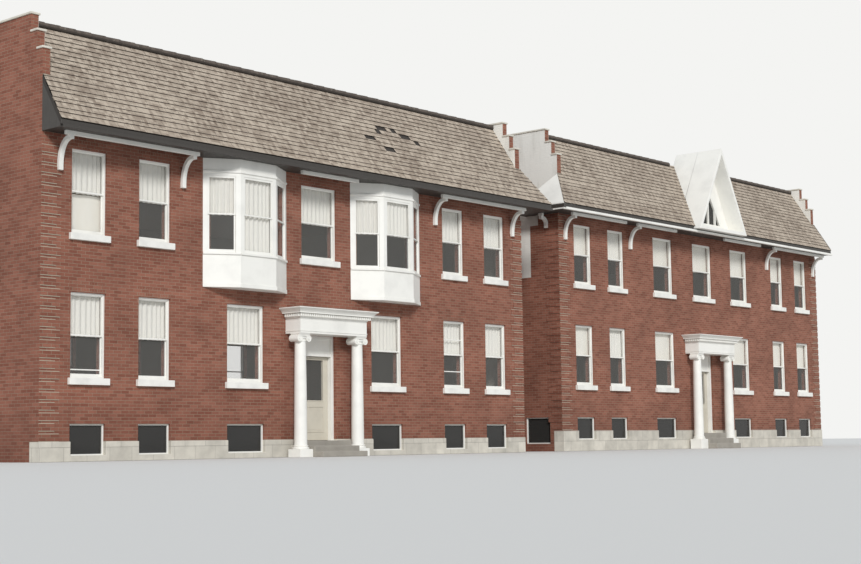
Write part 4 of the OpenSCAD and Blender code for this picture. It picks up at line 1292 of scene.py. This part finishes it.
class HOUSEROW_OT_porticoes(bpy.types.Operator):
    """Builds the columns and the moulded entablatures over the entrances"""
    bl_idname = "house_row.porticoes"
    bl_label = "Porticoes"

    def execute(self, context):
        columns, tops = [], []
        step_tops = {b: max(high.z for low, high in solids_of("entrance_steps")
                            if (low.x > 0) == (b == RIGHT)) for b in (LEFT, RIGHT)}
        for low, high in solids_of("portico_columns"):
            b = RIGHT if low.x > 0 else LEFT
            pattern = ionic_column(high.z - low.z, step_tops[b] - 0.21 - low.z)
            pattern.data.transform(place_of((low.x + high.x) / 2, (low.y + high.y) / 2, low.z))
            columns.append(pattern)
        dress(join(columns, "entrance_columns"), "white_paint",
              replaces=["portico_columns"])
        for low, high in solids_of("entablatures"):
            middle = (low.x + high.x) / 2
            half, front = COLUMN_X + 0.175, -0.53
            levels = [(0.0, 0), (0.05, 0), (0.052, 0.014), (0.068, 0.014), (0.07, 0),
                      (0.385, 0), (0.387, 0.02), (0.405, 0.02), (0.407, 0.03), (0.495, 0.03),
                      (0.496, 0.125), (0.53, 0.125), (0.532, 0.135), (0.545, 0.142),
                      (0.565, 0.158), (0.585, 0.182), (0.605, 0.208), (0.615, 0.226),
                      (0.617, 0.23), (0.636, 0.23), (0.640, 0.205)]
            body = stacked((-half, half), front, levels)
            tooth = block((-0.021, -0.062, 0.412), (0.021, 0.01, 0.488), 0.003)
            reach = half + 0.045
            count = round(2 * reach / 0.075)
            row = copy_at(tooth, Matrix.Translation((-reach, front - 0.03, 0)))
            dentils = [with_modifiers(row, repeated(count + 1, (2 * reach / count, 0, 0)))]
            side_count = round(-front / 0.075)
            for side in (-1, 1):
                turn = Matrix.Rotation(side * math.pi / 2, 4, "Z")
                flank = copy_at(tooth, Matrix.Translation((side * (half + 0.03), front, 0)) @ turn)
                along = repeated(side_count, (0, -front / side_count, 0))
                dentils.append(with_modifiers(flank, along))
            remove([tooth])
            piece = join([body] + dentils, "entablature")
            piece.data.transform(place_of(middle, high.y, low.z))
            tops.append(piece)
        dress(join(tops, "moulded_entablatures"), "white_paint",
              replaces=["entablatures"])
        return {"FINISHED"}


class HOUSEROW_OT_doors(bpy.types.Operator):
    """Builds the door frames, the panelled leaves and their knobs"""
    bl_idname = "house_row.doors"
    bl_label = "Doors"

    def execute(self, context):
        trim = eased_copy("door_frames", "door_frame_joinery", 0.004)
        for b, node in ((LEFT, "left_door"), (RIGHT, "right_door")):
            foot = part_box(node)[0].z
            middle = BLOCK_AT[b].x + ENTRANCE_X[b]
            face = BLOCK_AT[b].y
            leaf_w, leaf_h = 0.964, 2.13
            glass = (0.62, 1.01, 2.05)
            y0, y1 = 0.200, 0.245
            side = (leaf_w - glass[0]) / 2
            sides = (side, side, glass[1], leaf_h - glass[2])
            slab = board_frame(leaf_w, leaf_h, sides, y1 - y0, 0.003)
            slab.data.transform(Matrix.Translation((0, y0, 0)))
            parts = [slab]
            for y, flip in ((y0, 1), (y1, -1)):
                bead = board_frame(glass[0] + 0.05, glass[2] - glass[1] + 0.05, (0.03,) * 4,
                                   0.012, 0.004)
                bead.data.transform(Matrix.Translation((0, -0.010, glass[1] - 0.025)))
                panels = [bead]
                rim = board_frame(0.66, 0.66, (0.022,) * 4, 0.014, 0.004)
                rim.data.transform(Matrix.Translation((0, -0.012, 0.20)))
                field = block((-0.27, -0.006, 0.26), (0.27, 0.004, 0.80), 0.005)
                panels += [rim, field]
                for panel in panels:
                    if flip < 0:
                        panel.data.transform(Matrix.Rotation(math.pi, 4, "Z"))
                    panel.data.transform(Matrix.Translation((0, y, 0)))
                parts += panels
            hinges = []
            for z in (0.25, 1.05, 1.85):
                deselect()
                bpy.ops.mesh.primitive_cylinder_add(vertices=16, radius=0.012, depth=0.10,
                                                    location=(leaf_w / 2, 0.2522, z + 0.05))
                hinges.append(apply_place(bpy.context.object))
            knobs = []
            for y, turn in ((y0, math.pi / 2), (y1, -math.pi / 2)):
                knob = turned([(0.030, 0.0), (0.030, 0.004), (0.012, 0.008), (0.011, 0.022),
                               (0.022, 0.028), (0.028, 0.038), (0.024, 0.047), (0.010, 0.050)], 20)
                place = Matrix.Translation((-leaf_w / 2 + 0.075, y, 1.02))
                knob.data.transform(place @ Matrix.Rotation(turn, 4, "X"))
                knobs.append(knob)
            prefix = ("left", "right")[b]
            leaf = join(parts, prefix + "_panelled_door")
            metal = join(knobs + hinges, prefix + "_door_brassware")
            for piece in (leaf, metal):
                piece.data.transform(Matrix.Translation((middle, face, foot)))
            dress(leaf, "door_paint", DOOR_BODIES[b], [node])
            dress(metal, "brass", DOOR_BODIES[b])
        dress(trim, "white_paint", replaces=["door_frames"])
        return {"FINISHED"}


class HOUSEROW_OT_dormer(bpy.types.Operator):
    """Builds the steep hood with its edge boards, and the barred dormer window"""
    bl_idname = "house_row.dormer"
    bl_label = "Dormer"

    def execute(self, context):
        hood = eased_copy("dormer_hood", "dormer_hood_boards", 0.008)
        dress(hood, "white_paint", replaces=["dormer_hood"])
        window = eased_copy("dormer_window", "dormer_window_bars", 0.004)
        dress(window, "white_paint", replaces=["dormer_window"])
        return {"FINISHED"}


def aim(obj, target):
    """Turns a lamp so that it points at a place."""
    obj.rotation_euler = (Vector(target) - obj.location).to_track_quat("-Z", "Y").to_euler()


class HOUSEROW_OT_stage(bpy.types.Operator):
    """Sets up the pale floor, the soft light and the camera"""
    bl_idname = "house_row.stage"
    bl_label = "Stage"

    def execute(self, context):
        scene = context.scene
        scene.view_settings.view_transform = "Standard"
        deselect()
        bpy.ops.mesh.primitive_plane_add(size=400, location=(0, 0, 0))
        floor = bpy.context.object
        floor.name = "studio_floor"
        pale = new_material("pale_floor", 0.9, **{"Base Color": linear("#d9d8d5")})[0]
        floor.data.materials.append(pale)
        world = bpy.data.worlds.new("pale_studio")
        scene.world = world
        world.use_nodes = True
        tree = world.node_tree
        tree.nodes.clear()
        light = add_node(tree, "ShaderNodeBackground",
                         {"Color": linear("#dfe6ee"), "Strength": SKY_STRENGTH})
        seen = add_node(tree, "ShaderNodeBackground", {"Color": linear("#f4f4f2"), "Strength": 1.0})
        path = add_node(tree, "ShaderNodeLightPath")
        rays = maths(tree, "MAXIMUM", path.outputs["Is Camera Ray"], path.outputs["Is Glossy Ray"])
        rays = maths(tree, "MAXIMUM", rays, path.outputs["Is Transmission Ray"])
        mix = add_node(tree, "ShaderNodeMixShader",
                       {0: rays, 1: light.outputs[0], 2: seen.outputs[0]})
        add_node(tree, "ShaderNodeOutputWorld", {"Surface": mix.outputs[0]})
        sun = bpy.data.lights.new("key_light", "SUN")
        sun.energy = SUN_STRENGTH
        sun.angle = math.radians(12)
        sun_object = bpy.data.objects.new("key_light", sun)
        scene.collection.objects.link(sun_object)
        sun_object.location = SUN_AT
        aim(sun_object, (0, 0, 2))
        lens = bpy.data.cameras.new("street_camera")
        lens.sensor_width = 36
        lens.lens = LENS_MM
        lens.shift_x, lens.shift_y = LENS_SHIFT
        lens.clip_end = 400
        camera = bpy.data.objects.new("street_camera", lens)
        scene.collection.objects.link(camera)
        yaw, pitch, roll = (math.radians(angle) for angle in CAMERA_TURN)
        right = Vector((math.cos(yaw), -math.sin(yaw), 0))
        ahead = Vector((math.sin(yaw), math.cos(yaw), 0))
        up = Vector((0, 0, 1))
        forward = ahead * math.cos(pitch) + up * math.sin(pitch)
        upright = up * math.cos(pitch) - ahead * math.sin(pitch)
        side = right * math.cos(roll) + upright * math.sin(roll)
        top = upright * math.cos(roll) - right * math.sin(roll)
        matrix = Matrix((side, top, -forward)).transposed().to_4x4()
        matrix.translation = CAMERA_AT
        camera.matrix_world = matrix
        scene.camera = camera
        return {"FINISHED"}


class HOUSEROW_PT_panel(bpy.types.Panel):
    """Lists the steps that build the row"""
    bl_label = "House Row"
    bl_idname = "HOUSEROW_PT_panel"
    bl_space_type = "VIEW_3D"
    bl_region_type = "UI"
    bl_category = "House Row"

    def draw(self, context):
        for group in (context.scene.house_row_sizes, context.scene.house_row_colours):
            for key in group.__annotations__:
                self.layout.prop(group, key)
        for operator in OPERATORS:
            self.layout.operator(operator.bl_idname)


OPERATORS = (HOUSEROW_OT_finishes, HOUSEROW_OT_roof_tiles, HOUSEROW_OT_brick_dressings,
             HOUSEROW_OT_windows, HOUSEROW_OT_curtains, HOUSEROW_OT_bays,
             HOUSEROW_OT_stonework, HOUSEROW_OT_eaves, HOUSEROW_OT_porticoes,
             HOUSEROW_OT_doors, HOUSEROW_OT_dormer, HOUSEROW_OT_stage)
CLASSES = (HouseRowSizes, HouseRowColours) + OPERATORS + (HOUSEROW_PT_panel,)


def register():
    """Registers the classes and their settings on the scene."""
    for cls in CLASSES:
        bpy.utils.register_class(cls)
    bpy.types.Scene.house_row_sizes = bpy.props.PointerProperty(type=HouseRowSizes)
    bpy.types.Scene.house_row_colours = bpy.props.PointerProperty(type=HouseRowColours)


def unregister():
    """Takes the settings and classes away again."""
    del bpy.types.Scene.house_row_colours
    del bpy.types.Scene.house_row_sizes
    for cls in reversed(CLASSES):
        bpy.utils.unregister_class(cls)


def main():
    """Builds everything."""
    register()
    for operator in OPERATORS:
        getattr(bpy.ops.house_row, operator.bl_idname.split(".")[1])()
    deselect()


if __name__ == "__main__":
    main()
